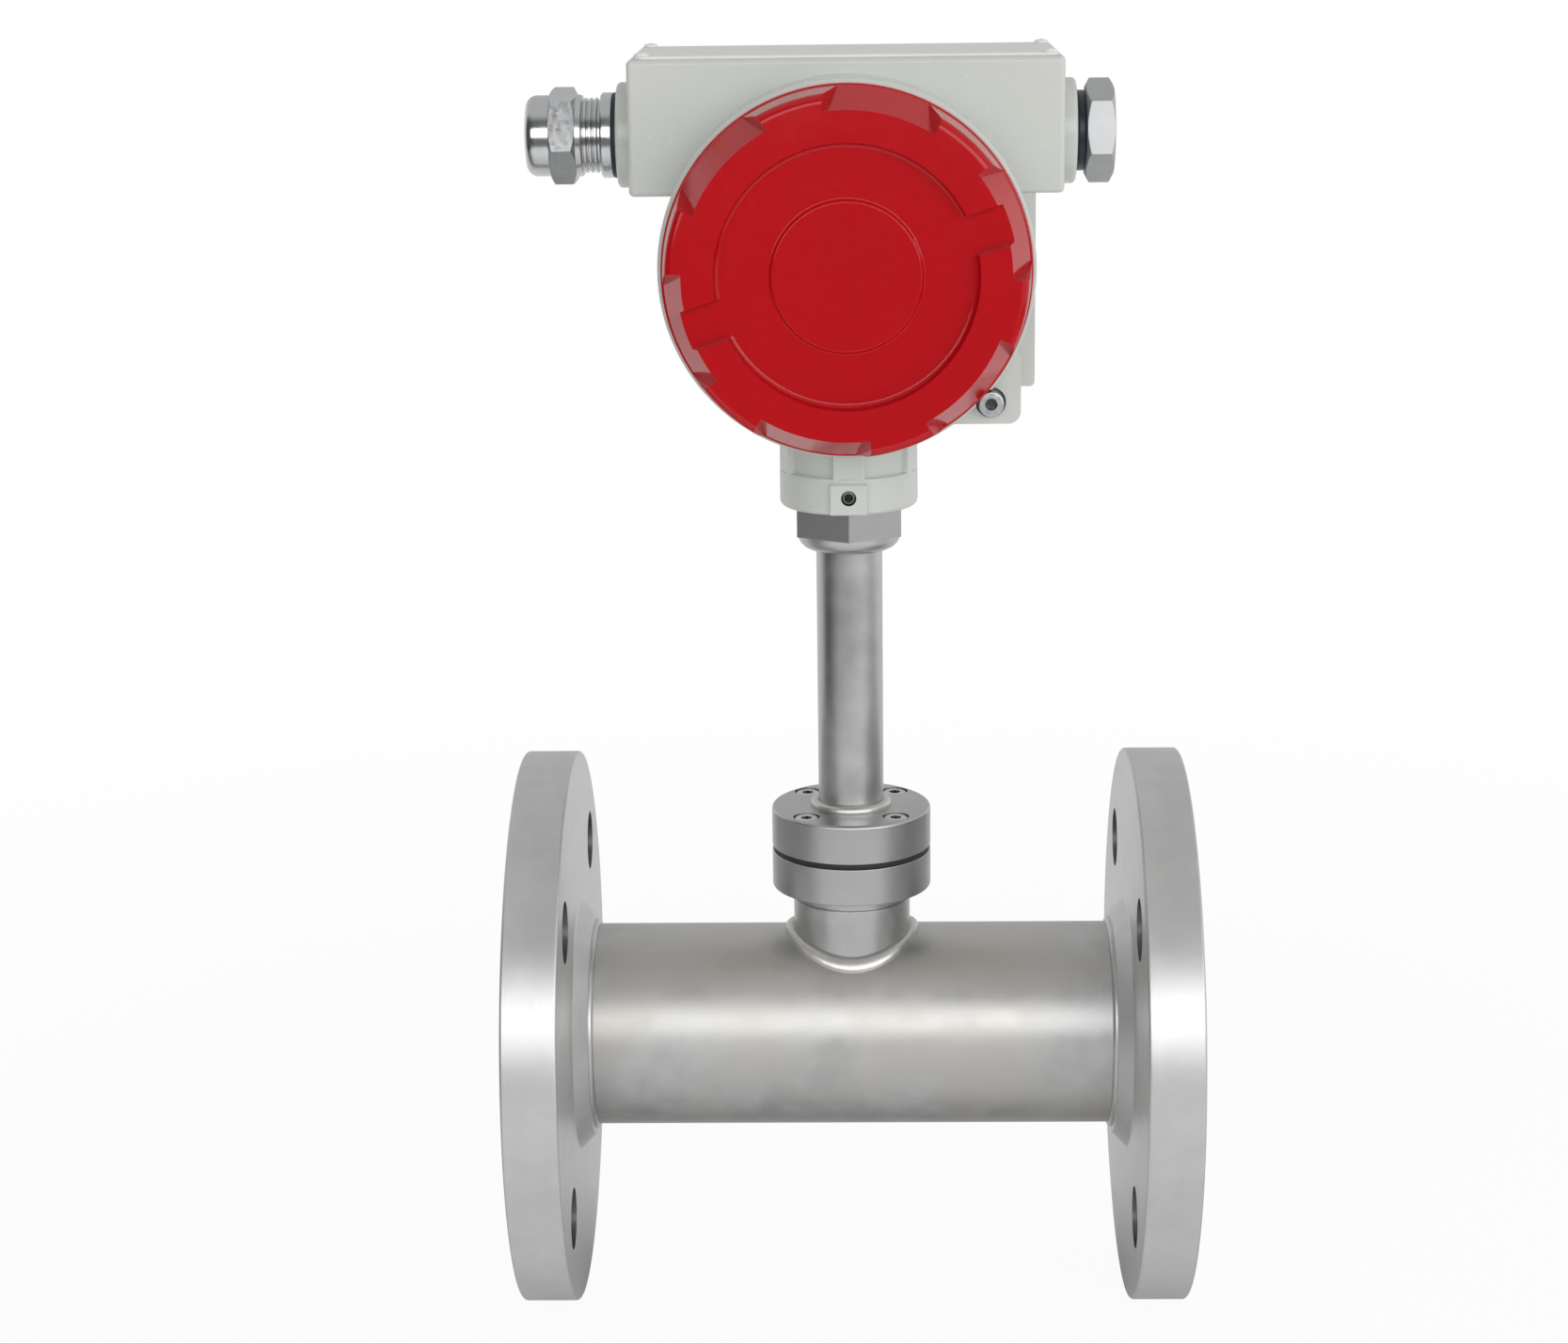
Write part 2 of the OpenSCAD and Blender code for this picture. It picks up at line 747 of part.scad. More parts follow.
module entry_boss() {
    rotate_extrude() polygon([
        [0, -cut], [entry_boss_d / 2, -cut], [entry_boss_d / 2, entry_boss_length - cast_edge],
        [entry_boss_d / 2 - cast_edge, entry_boss_length], [0, entry_boss_length]]);
}

// The drum along Y, turned down a little at both mouths
module drum_solid() {
    translate([0, 0, drum_z]) rotate([90, 0, 0]) rotate_extrude() polygon([
        [0, -drum_half], [drum_r - edge_break, -drum_half], [drum_r, edge_break - drum_half],
        [drum_r, drum_half - edge_break], [drum_r - edge_break, drum_half], [0, drum_half]]);
}

// Flat pad on the right side, and the lug under it that holds the two cover locks
module side_pad() {
    translate([0, -box_depth / 2 + cast_edge, drum_z - side_pad_drop])
        cube([side_pad_x, box_depth - 2 * cast_edge,
            box_bottom - drum_z + side_pad_drop + box_corner]);
    translate([0, 0, drum_z]) rotate([90, 0, 0])
        linear_extrude(height = 2 * lug_half, center = true) difference() {
            translate([lug_inner_x, -lug_bottom_drop])
                square([lug_outer_x - lug_inner_x, lug_bottom_drop - lug_top_drop]);
            translate([lug_outer_x - lug_corner, -lug_bottom_drop])
                difference() {
                    square([lug_corner + cut, lug_corner]);
                    translate([0, lug_corner]) circle(r = lug_corner);
                }
        }
}

// Clamp ring, ribs and pad under the drum
module neck_solid() {
    translate([0, 0, neck_bottom]) {
        cylinder(d = neck_core_d, h = neck_height + drum_r - cavity_r + lead_hole_d / 2);
        cylinder(d = neck_ring_d, h = neck_ring_height);
        intersection() {
            cylinder(d = neck_ring_d, h = neck_height + drum_r - cavity_r);
            for (i = [0 : neck_rib_count - 1]) rotate([0, 0, -90 + i * 360 / neck_rib_count])
                translate([0, -neck_rib_width / 2, 0])
                    cube([neck_ring_d, neck_rib_width, neck_height + drum_r - cavity_r]);
        }
        translate([-clamp_pad_width / 2, -neck_ring_d / 2 - clamp_pad_proud,
            neck_ring_height - clamp_pad_height])
            cube([clamp_pad_width, neck_ring_d / 2, clamp_pad_height]);
    }
}

// One compartment, from the mouth of the drum down to the divider, at local height floor_z
module compartment(floor_z) {
    translate([0, 0, floor_z]) cylinder(r = cavity_r, h = drum_half - floor_z + cut);
    translate([0, 0, drum_half - mouth_depth]) cylinder(r = mouth_r, h = mouth_depth + cut);
    translate([0, 0, drum_half - seal_seat_depth])
        cylinder(r = seal_seat_r, h = seal_seat_depth + cut);
}

module housing_body() color("#d5d8d3") difference() {
    union() {
        at_stem() {
            box_solid();
            drum_solid();
            side_pad();
            neck_solid();
            for (side = [0, 180]) rotate([0, 0, side]) translate([box_width / 2, 0, entry_z])
                rotate([0, 90, 0]) entry_boss();
        }
    }
    facing_front() compartment(-divider_offset);
    facing_rear() compartment(divider_rear);
    at_stem() {
        // chamber for the cables behind the entries
        translate([-box_width / 2 + box_wall_end, -box_depth / 2 + box_wall_front, chamber_floor])
            cube([box_width - 2 * box_wall_end,
                box_depth / 2 - box_wall_front + divider_offset - face_gap,
                box_top - box_wall_top - chamber_floor]);
        translate([-entry_face - cut, 0, entry_z]) rotate([0, 90, 0])
            cylinder(d = entry_thread_d, h = 2 * entry_face + 2 * cut);
        // swivel bore and the hole for the sensor plug
        translate([0, 0, neck_bottom - cut])
            cylinder(r = spigot_d / 2 + swivel_gap, h = spigot_length + cut + face_gap);
        translate([0, 0, neck_bottom])
            cylinder(d = lead_hole_d, h = neck_height + drum_r - cavity_r + lead_hole_d);
        translate([0, 0, clamp_screw_z]) rotate([90, 0, 0])
            cylinder(d = m4_d, h = neck_ring_d);
        // cover lock holes
        for (end = [0, 180]) translate([lock_screw_x, 0, drum_z - lock_screw_drop])
            rotate([90 + end, 0, 0]) translate([0, 0, lug_half]) {
                translate([0, 0, -lock_screw_length - edge_break])
                    cylinder(d = m4_d, h = lock_screw_length + edge_break + cut);
                cylinder(d = counterbore_d, h = drum_half);
            }
        // rivet holes under the nameplate
        rivet_places() translate([0, 0, box_top - 2 * rivet_height])
            cylinder(d = rivet_d / 2, h = 2 * rivet_height + cut);
    }
    facing_front() translate([0, 0, -divider_offset - stud_depth]) {
        terminal_standoff_places() cylinder(d = m3_d, h = stud_depth + cut);
        earth_place() cylinder(d = m3_d, h = stud_depth + cut);
    }
    facing_rear() translate([0, 0, divider_rear - stud_depth])
        display_post_places() cylinder(d = m3_d, h = stud_depth + cut);
    facing_rear() translate([0, -feedthrough_drop, divider_rear - divider_thick - cut])
        cylinder(d = feedthrough_d, h = divider_thick + 2 * cut);
}

module neck_set_screw() color("#3c3e40") at_stem() {
    tip_y = spigot_d / 2 - spigot_groove_depth + face_gap;
    head_y = neck_ring_d / 2 + clamp_pad_proud - edge_break;
    translate([0, 0, clamp_screw_z]) rotate([90, 0, 0]) difference() {
        union() {
            translate([0, 0, tip_y]) cylinder(d = clamp_point_d, h = head_y - tip_y);
            translate([0, 0, spigot_d / 2 + face_gap])
                cylinder(d = m4_d - 2 * seam_gap, h = head_y - spigot_d / 2 - face_gap);
        }
        translate([0, 0, head_y - m4_socket_depth])
            hexagon(m4_d / 2, m4_socket_depth + cut);
    }
}

module cover_lock_screws() color("#b8babb") at_stem() for (end = [0, 180])
    translate([lock_screw_x, 0, drum_z - lock_screw_drop]) rotate([90 + end, 0, 0])
        translate([0, 0, lug_half]) socket_screw(lock_screw_length);

module rivet_places() {
    for (x = [-1, 1], y = [-1, 1]) translate([x * rivet_x, y * rivet_y, 0]) children();
}

module nameplate() color("#c9cccc") at_stem() translate([0, 0, box_top]) difference() {
    linear_extrude(height = nameplate_thick)
        rounded_square(nameplate_width, nameplate_depth, nameplate_corner);
    rivet_places() translate([0, 0, -cut])
        cylinder(d = rivet_d / 2 + 2 * seam_gap, h = nameplate_thick + 2 * cut);
}

module nameplate_rivets() color("#cdd0cf") at_stem() rivet_places() {
    translate([0, 0, box_top - 2 * rivet_height + seam_gap])
        cylinder(d = rivet_d / 2 - 2 * seam_gap, h = 2 * rivet_height + nameplate_thick);
    translate([0, 0, box_top + nameplate_thick]) rotate_extrude() polygon(concat(
        [[0, 0], [rivet_d / 2, 0]],
        arc(rivet_d / 2 - rivet_height, 0, rivet_height, 0, 90), [[0, rivet_height]]));
}

// Covers, in a local frame whose zero is the face of the drum

// Outline of a cover's body between the notches: lip, then a slope up to the face
module cover_core() {
    lip_r = cover_lip_d / 2;
    rotate_extrude() polygon([
        [0, lip_base], [lip_r - edge_break, lip_base], [lip_r, lip_base + edge_break],
        [lip_r, lip_top - edge_break], [lip_r - edge_break, lip_top],
        [cover_face_d / 2, cap_face - edge_break], [cover_face_d / 2 - edge_break, cap_face],
        [0, cap_face]]);
}

// The gripping lugs that stand between the notches
module cover_lugs() {
    lug_r = cover_lip_d / 2 - lug_inset;
    step = 360 / notch_count;
    width = step * (1 - notch_width_share);
    reach = cover_lip_d / cos(width / 2);
    intersection() {
        rotate_extrude() polygon(concat(
            [[0, lip_base], [lug_r, lip_base]],
            arc(lug_r - lug_round, cap_face - lug_round, lug_round, 0, 90), [[0, cap_face]]));
        for (i = [0 : notch_count - 1]) rotate([0, 0, notch_turn + (i + 0.5) * step])
            linear_extrude(height = cap_face) polygon([
                [0, 0], [reach * cos(width / 2), -reach * sin(width / 2)],
                [reach * cos(width / 2), reach * sin(width / 2)]]);
    }
}

module cover_skirt() {
    rings = floor((skirt_length - seal_seat_depth) / thread_pitch);
    rotate_extrude() polygon(concat(
        [[skirt_inner_r, lip_base + cut], [skirt_inner_r, -skirt_length]],
        thread_rings(skirt_r, -skirt_length, rings),
        [[skirt_r, -skirt_length + rings * thread_pitch], [skirt_r, lip_base + cut]]));
}

module front_cover() color("#c4151c") facing_front() translate([0, 0, drum_half])
    difference() {
        centre_floor = cap_face - cover_centre_depth;
        centre_r = cover_centre_d / 2;
        union() {
            cover_core();
            cover_lugs();
            cover_skirt();
        }
        // hollow inside
        translate([0, 0, -skirt_length - cut])
            cylinder(r = skirt_inner_r - edge_break,
                h = skirt_length + cut + centre_floor - cover_wall);
        // sunk centre with its raised disc
        rotate_extrude() polygon(concat(
            [[centre_disc_d / 2 + centre_disc_height, centre_floor],
            [centre_r - centre_fillet, centre_floor]],
            arc(centre_r - centre_fillet, centre_floor + centre_fillet, centre_fillet, -90, 0),
            [[centre_r, cap_face - edge_break], [centre_r + edge_break, cap_face],
            [centre_r + edge_break, cap_face + cut], [0, cap_face + cut],
            [0, centre_floor + centre_disc_height],
            [centre_disc_d / 2, centre_floor + centre_disc_height]]));
        // channels for the bar
        rotate([0, 0, notch_turn]) for (side = [0, 180]) rotate([0, 0, side])
            translate([centre_r - centre_fillet, -bar_channel_width / 2, centre_floor])
                cube([cover_lip_d / 2, bar_channel_width, cover_centre_depth + cut]);
    }

module rear_cover() color("#c4151c") facing_rear() translate([0, 0, drum_half])
    difference() {
        union() {
            cover_core();
            cover_lugs();
            cover_skirt();
        }
        translate([0, 0, -skirt_length - cut])
            cylinder(r = skirt_inner_r - edge_break, h = window_seat + skirt_length + cut
                - window_thick - window_ring_height);
        translate([0, 0, -skirt_length - cut])
            cylinder(r = window_r + thread_gap, h = window_seat + skirt_length + cut);
        cylinder(d = window_opening_d, h = cap_face + cut);
        translate([0, 0, cap_face - window_face_wall / 2])
            cylinder(d1 = window_opening_d, d2 = window_opening_d + window_face_wall,
                h = window_face_wall / 2 + seam_gap);
    }

module cover_seal() {
    translate([0, 0, drum_half - seal_seat_depth / 2 + lip_base / 2])
        torus(mouth_r + seal_section / 2 + thread_gap, seal_section);
}

module front_cover_o_ring() color("#1b1b1d") facing_front() cover_seal();

module rear_cover_o_ring() color("#1b1b1d") facing_rear() cover_seal();

module window_glass() color("#cfe0e4", 0.35) facing_rear()
    translate([0, 0, drum_half + window_seat - window_gasket_thick - window_thick])
        cylinder(r = window_r, h = window_thick);

module window_gasket() color("#1b1b1d") facing_rear()
    translate([0, 0, drum_half + window_seat - window_gasket_thick])
        ring(2 * window_r, window_opening_d, window_gasket_thick);

module window_ring() color("#2a2b2d") facing_rear() translate([0, 0, drum_half
    + window_seat - window_gasket_thick - window_thick - window_ring_height])
    difference() {
        ring(2 * window_r, 2 * (window_r - window_ring_wall), window_ring_height);
        for (turn = [0, 90]) rotate([0, 0, turn])
            translate([-window_r, -window_ring_wall / 2, -cut])
                cube([2 * window_r, window_ring_wall, cut + window_ring_height / 2]);
    }

// Cable gland, in a local frame whose zero is the face of the left boss

module at_gland() {
    translate([stem_x - entry_face, 0, entry_z]) rotate([0, -90, 0]) children();
}

module gland_washer() color("#17181a") at_gland()
    ring(gland_flange_d, entry_thread_d + 2 * seam_gap, gland_washer_thick);

module gland_body() color("#b9bcbe") at_gland() difference() {
    neck_rings = floor((gland_body_end - gland_neck_start) / thread_pitch) - 1;
    neck_plain = gland_body_end - neck_rings * thread_pitch;
    union() {
        translate([0, 0, -gland_thread_in])
            cylinder(r = gland_thread_r, h = gland_thread_in + gland_neck_start);
        rotate_extrude() polygon(concat(
            [[0, gland_washer_thick], [gland_flange_d / 2, gland_washer_thick],
            [gland_flange_d / 2, gland_neck_start - edge_break],
            [gland_flange_d / 2 - edge_break, gland_neck_start],
            [gland_neck_r, gland_neck_start]],
            thread_rings(gland_neck_r, neck_plain, neck_rings),
            [[gland_neck_r, gland_body_end], [0, gland_body_end]]));
    }
    translate([0, 0, -gland_thread_in - cut])
        cylinder(r = gland_bore_r, h = gland_thread_in + gland_body_end + 2 * cut);
}

module gland_seal() color("#26272a") at_gland() difference() {
    union() {
        translate([0, 0, gland_body_end - gland_seal_depth])
            cylinder(r = gland_bore_r - seam_gap, h = gland_seal_depth + edge_break);
        translate([0, 0, gland_body_end])
            cylinder(r = gland_nut_bore_r - face_gap, h = gland_seal_collar);
    }
    translate([0, 0, gland_body_end - gland_seal_depth - cut])
        cylinder(d = cable_hole_d, h = gland_seal_depth + gland_seal_collar + 2 * cut);
}

module gland_slip_washer() color("#c7b26a") at_gland()
    translate([0, 0, gland_body_end + gland_seal_collar + face_gap])
        ring(2 * (gland_nut_bore_r - face_gap), cable_hole_d + 2 * face_gap, slip_washer_thick);

module gland_nut() color("#c2c5c7") at_gland() difference() {
    hollow_end = gland_body_end + gland_seal_collar + slip_washer_thick + 2 * face_gap;
    union() {
        translate([0, 0, gland_nut_start])
            cylinder(r = gland_skirt_r, h = gland_skirt_length + edge_break);
        translate([0, 0, gland_nut_hex_start]) rotate([0, 0, gland_nut_turn])
            turned_hexagon(gland_nut_af, gland_nut_hex);
        rotate_extrude() polygon(concat(
            [[0, gland_nose_start - edge_break], [gland_nose_r, gland_nose_start - edge_break]],
            arc(gland_nose_r - gland_nose_round, gland_nut_end - gland_nose_round,
                gland_nose_round, 0, 90),
            [[0, gland_nut_end]]));
    }
    translate([0, 0, gland_nut_start - cut])
        cylinder(r = gland_nut_bore_r, h = hollow_end - gland_nut_start + cut);
    cylinder(r = gland_opening_r, h = gland_nut_end + cut);
    translate([0, 0, gland_nut_end - edge_break])
        cylinder(r1 = gland_opening_r, r2 = gland_opening_r + edge_break, h = edge_break
            + seam_gap);
}

module at_plug() {
    translate([stem_x + entry_face, 0, entry_z]) rotate([0, 90, 0]) children();
}

module plug_o_ring() color("#15191f") at_plug() translate([0, 0, seam_gap])
    ring(plug_ring_d, entry_thread_d + 2 * thread_gap, plug_ring_thick - 2 * seam_gap);

module blanking_plug() color("#c0c3c5") at_plug() {
    shank_rings = floor((plug_thread_in - edge_break) / thread_pitch);
    translate([0, 0, plug_ring_thick]) rotate([0, 0, plug_turn])
        turned_hexagon(plug_af, plug_head_height);
    rotate_extrude() polygon(concat(
        [[0, plug_ring_thick + edge_break], [0, -plug_thread_in]],
        thread_rings(gland_thread_r, -plug_thread_in, shank_rings),
        [[gland_thread_r, -plug_thread_in + shank_rings * thread_pitch],
        [gland_thread_r, plug_ring_thick + edge_break]]));
}

// Terminal compartment, in the front frame of the drum

module terminal_standoff_places() {
    for (x = [-1, 1]) {
        translate([x * standoff_x, standoff_up]) children();
        translate([x * standoff_x, -standoff_down]) children();
    }
}

module earth_place() {
    translate([earth_x, earth_rise]) children();
}

module terminal_board() color("#1f6a45") facing_front() difference() {
    translate([0, 0, -terminal_board_y]) linear_extrude(height = board_thick) difference() {
        circle(r = terminal_board_r);
        translate([-terminal_board_r, terminal_board_top])
            square([2 * terminal_board_r, terminal_board_r]);
    }
    terminal_standoff_places() translate([0, 0, -terminal_board_y - cut])
        cylinder(d = m3_d + 2 * thread_gap, h = board_thick + 2 * cut);
}

// A pillar with a stud below and a tapped bore in its top
module standoff(height, stud, bore_depth) {
    rotate_extrude() polygon([
        [0, -stud], [m3_d / 2 - seam_gap, -stud], [m3_d / 2 - seam_gap, 0], [standoff_d / 2, 0],
        [standoff_d / 2, height], [m3_d / 2, height], [m3_d / 2, height - bore_depth],
        [0, height - bore_depth]]);
}

module terminal_standoffs() color("#c8a94e") facing_front() terminal_standoff_places()
    translate([0, 0, -divider_offset])
        standoff(divider_offset - terminal_board_y, stud_depth - seam_gap, m3_length);

module terminal_board_screws() color("#b9bcbd") facing_front() terminal_standoff_places()
    translate([0, 0, terminal_board_top_y]) pan_screw(m3_length);

// One way of the terminal block, with its wire slot open at the top and its screw well
module terminal_way() {
    difference() {
        translate([-terminal_pitch / 2, 0, 0])
            cube([terminal_pitch, terminal_height, terminal_depth]);
        translate([-terminal_pitch / 2 + terminal_wall, terminal_height - terminal_slot_height,
            terminal_wall])
            cube([terminal_pitch - 2 * terminal_wall, terminal_slot_height + cut,
                terminal_slot_height]);
        translate([0, terminal_height / 3, terminal_depth - terminal_slot_height])
            cylinder(d = terminal_pitch - terminal_wall, h = terminal_slot_height + cut);
    }
}

module terminal_places() {
    for (i = [0 : terminal_count - 1])
        translate([(i - (terminal_count - 1) / 2) * terminal_pitch, -terminal_drop,
            terminal_board_top_y]) children();
}

module terminal_block() color("#3f7f5a") facing_front() terminal_places() terminal_way();

module terminal_screws() color("#c5c7c8") facing_front() terminal_places()
    translate([0, terminal_height / 3, terminal_depth - terminal_slot_height]) difference() {
        cylinder(d = terminal_pitch - terminal_wall - 2 * thread_gap, h = m3_head_height);
        translate([-terminal_pitch, -slot_width / 2, m3_head_height - slot_depth])
            cube([2 * terminal_pitch, slot_width, slot_depth + cut]);
    }

module earth_screw() color("#c9a94a") facing_front() earth_place() {
    translate([0, 0, -divider_offset]) difference() {
        cylinder(d = washer_d, h = washer_thick);
        translate([0, 0, -cut]) cylinder(d = m3_d, h = washer_thick + 2 * cut);
    }
    translate([0, 0, washer_thick - divider_offset])
        pan_screw(stud_depth + washer_thick - seam_gap);
}

// Lead from the sensor plug up and back through the bush in the divider
module sensor_lead() color("#2b2c2e") at_stem() {
    start = spigot_top + sensor_plug_height + face_gap;
    bend_z = drum_z - feedthrough_drop - lead_bend;
    translate([0, 0, start]) cylinder(d = lead_d, h = bend_z - start);
    translate([0, lead_bend, bend_z]) rotate([90, 0, -90])
        rotate_extrude(angle = 90) translate([lead_bend, 0]) circle(d = lead_d);
    translate([0, lead_bend, drum_z - feedthrough_drop]) rotate([-90, 0, 0])
        cylinder(d = lead_d, h = power_board_y - lead_bend);
}

module lead_feedthrough() color("#2f3133") facing_rear()
    translate([0, -feedthrough_drop, divider_offset]) difference() {
        union() {
            cylinder(d = feedthrough_d - 2 * seam_gap, h = divider_thick);
            translate([0, 0, divider_thick])
                cylinder(d = feedthrough_d + 2 * feedthrough_rim, h = feedthrough_rim);
        }
        translate([0, 0, -cut]) cylinder(d = lead_d + 2 * seam_gap,
            h = divider_thick + feedthrough_rim + 2 * cut);
    }

// Display compartment, in the rear frame of the drum

module display_post_places() {
    for (x = [-1, 1], y = [-1, 1])
        translate([x * display_post_x, y * display_post_z]) children();
}

module power_board() color("#1f6a45") facing_rear() translate([0, 0, power_board_y])
    difference() {
        cylinder(r = power_board_r, h = board_thick);
        display_post_places() translate([0, 0, -cut])
            cylinder(d = m3_d, h = board_thick + 2 * cut);
    }

module power_standoffs() color("#c8a94e") facing_rear() display_post_places()
    translate([0, 0, divider_rear]) ring(standoff_d, m3_d, power_board_y - divider_rear);

module display_standoffs() color("#c8a94e") facing_rear() display_post_places()
    translate([0, 0, power_board_top])
        standoff(board_spacing, power_board_top - divider_rear + stud_depth - seam_gap, m3_length);

// Plain stand-ins for the parts on the power board: two capacitors, a coil, chips, a header
module board_components() color("#2c2d30") facing_rear()
    translate([0, 0, power_board_top]) {
        for (x = [-1, 1]) translate([x * capacitor_x, capacitor_y, 0])
            cylinder(d = capacitor_d, h = capacitor_height);
        translate([-chip_size / 2, -chip_size, 0]) cube([chip_size, chip_size, chip_height]);
        translate([-header_width / 2, header_y, 0])
            cube([header_width, header_depth, board_spacing]);
    }

module display_board() color("#1f6a45") facing_rear() translate([0, 0, display_board_y])
    difference() {
        cylinder(r = display_board_r, h = board_thick);
        display_post_places() translate([0, 0, -cut])
            cylinder(d = m3_d, h = board_thick + 2 * cut);
    }

module lcd_module() color("#8d9a6d") facing_rear()
    translate([0, lcd_rise, display_board_top])
        linear_extrude(height = lcd_depth) square([lcd_width, lcd_height], center = true);

module key_places() {
    for (i = [-1 : 1]) translate([i * key_pitch, -key_drop]) children();
}

module display_bezel() color("#1c1e20") facing_rear() difference() {
    translate([0, 0, display_board_top]) cylinder(r = bezel_r, h = bezel_depth);
    translate([0, 0, display_board_top - cut])
        cylinder(r = bezel_r - bezel_wall, h = bezel_depth - bezel_plate + cut);
    translate([-lcd_width / 2 + lcd_frame, lcd_rise - lcd_height / 2 + lcd_frame, 0])
        cube([lcd_width - 2 * lcd_frame, lcd_height - 2 * lcd_frame, bezel_face + cut]);
    key_places() cylinder(r = key_d / 2 + key_gap, h = bezel_face + cut);
    display_post_places() cylinder(d = m3_d, h = bezel_face + cut);
}

module bezel_screws() color("#b9bcbd") facing_rear() display_post_places()
    translate([0, 0, bezel_face])
        pan_screw(bezel_depth + board_thick + m3_length - edge_break, turn = 70);

// Switch under each key
module key_switches() color("#3a3b3e") facing_rear() key_places()
    translate([-switch_size / 2, -switch_size / 2, display_board_top])
        cube([switch_size, switch_size, key_bottom - key_travel - face_gap
            - display_board_y - board_thick]);

module key_cap() {
    translate([0, 0, key_bottom])
        cylinder(r = key_d / 2 + key_rim, h = key_rim_thick);
    rotate_extrude() polygon(concat(
        [[0, key_bottom], [key_d / 2, key_bottom]],
        arc(key_d / 2 - edge_break, bezel_face + key_proud - edge_break, edge_break, 0, 90),
        [[0, bezel_face + key_proud]]));
}

module key_left() color("#5d6166") facing_rear() translate([-key_pitch, -key_drop]) key_cap();

module key_middle() color("#5d6166") facing_rear() translate([0, -key_drop]) key_cap();

module key_right() color("#5d6166") facing_rear() translate([key_pitch, -key_drop]) key_cap();

flow_pipe();
inlet_flange();
outlet_flange();
flange_welds();
branch_stub();
branch_weld();
lower_sensor_flange();
sensor_gasket();
upper_sensor_flange();
sensor_flange_screws();
stem_tube();
stem_weld();
hex_adapter();
sensor_body();
sensor_o_ring();
heated_probe();
reference_probe();
probe_guard();
sensor_cable();
sensor_plug();
housing_body();
neck_set_screw();
cover_lock_screws();
nameplate();
nameplate_rivets();
front_cover();
front_cover_o_ring();
rear_cover();
rear_cover_o_ring();
window_glass();
window_gasket();
window_ring();
gland_washer();
gland_body();
gland_seal();
gland_slip_washer();
gland_nut();
plug_o_ring();
blanking_plug();
terminal_board();
terminal_standoffs();
terminal_board_screws();
terminal_block();
terminal_screws();
earth_screw();
sensor_lead();
lead_feedthrough();
power_board();
power_standoffs();
board_components();
display_board();
display_standoffs();
lcd_module();
display_bezel();
bezel_screws();
key_switches();
key_left();
key_middle();
key_right();
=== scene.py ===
"""Looks for a flanged thermal mass flow meter: finished pieces, materials and a plain studio."""

import math

import bmesh
import bpy
from mathutils import Matrix, Vector, noise


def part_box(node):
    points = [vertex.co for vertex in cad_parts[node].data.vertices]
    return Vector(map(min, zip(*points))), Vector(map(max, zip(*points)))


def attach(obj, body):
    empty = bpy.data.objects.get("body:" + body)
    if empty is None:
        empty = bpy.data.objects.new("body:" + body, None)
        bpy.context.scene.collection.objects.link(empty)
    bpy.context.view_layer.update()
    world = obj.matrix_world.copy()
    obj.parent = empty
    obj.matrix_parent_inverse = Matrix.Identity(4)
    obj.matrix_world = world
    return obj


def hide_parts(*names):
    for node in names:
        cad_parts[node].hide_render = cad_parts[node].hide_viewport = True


bl_info = {
    "name": "Thermal flow meter dressing",
    "version": (1, 0, 0),
    "blender": (4, 5, 0),
    "location": "View3D > Sidebar > Flow Meter",
    "description": "Builds the finished pieces of a flanged thermal mass flow meter",
    "category": "Object",
}

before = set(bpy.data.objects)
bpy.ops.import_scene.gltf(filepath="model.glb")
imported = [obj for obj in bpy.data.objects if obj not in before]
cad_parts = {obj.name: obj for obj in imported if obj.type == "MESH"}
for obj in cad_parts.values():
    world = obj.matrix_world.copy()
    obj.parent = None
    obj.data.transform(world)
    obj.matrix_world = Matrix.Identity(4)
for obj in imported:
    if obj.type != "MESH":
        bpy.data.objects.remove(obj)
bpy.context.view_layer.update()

MM = 0.001
IMAGE_WIDTH = 1667
MERGE = 1e-6
TURN = math.tau
# How far a cut runs past a face, or a form into its neighbour
OVERRUN = MM
ARC_STEPS = 5
BEAD_SIDES = 12
BEVEL_STEPS = 3


# Places and sizes read from the frame

def span(node):
    """Lowest corner, highest corner and middle of a node."""
    low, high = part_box(node)
    return low, high, (low + high) / 2


PIPE_LOW, PIPE_HIGH, PIPE_MID = span("flow_pipe")
INLET_LOW, INLET_HIGH, _ = span("inlet_flange")
OUTLET_END = span("outlet_flange")[1].x
STEM_LOW, STEM_HIGH, STEM_MID = span("stem_tube")
HOUSING_LOW, HOUSING_HIGH, _ = span("housing_body")
COVER_LOW, COVER_HIGH, COVER_MID = span("front_cover")
WASHER_LOW, WASHER_HIGH, WASHER_MID = span("gland_washer")
PLUG_RING_LOW, PLUG_RING_HIGH, _ = span("plug_o_ring")
SET_SCREW_LOW, SET_SCREW_HIGH, SET_SCREW_MID = span("neck_set_screw")
_, LOCK_HIGH, LOCK_MID = span("cover_lock_screws")
PIPE_R = (PIPE_HIGH.z - PIPE_LOW.z) / 2
FLANGE_R = (INLET_HIGH.z - INLET_LOW.z) / 2
FLANGE_REACH = INLET_HIGH.x - INLET_LOW.x
STEM_R = (STEM_HIGH.x - STEM_LOW.x) / 2
STEM_X = STEM_MID.x
COVER_R = (COVER_HIGH.x - COVER_LOW.x) / 2
DRUM_Z = COVER_MID.z
ENTRY_Z = WASHER_MID.z

# Sizes that several pieces share
HEAD_R, HEAD_HEIGHT, SOCKET = 3.5 * MM, 4 * MM, 3 * MM
SCREW_CIRCLE = 18.5 * MM
LEAD_BORE_R = 2.9 * MM
INSERT_BORE_R = 12.2 * MM
COVER_BORE_R = 39.3 * MM
LOCK_X = LOCK_HIGH.x - HEAD_R - STEM_X
LOCK_DROP = DRUM_Z - LOCK_MID.z
LOCK_SINK = 4.2 * MM


# Settings a user would change

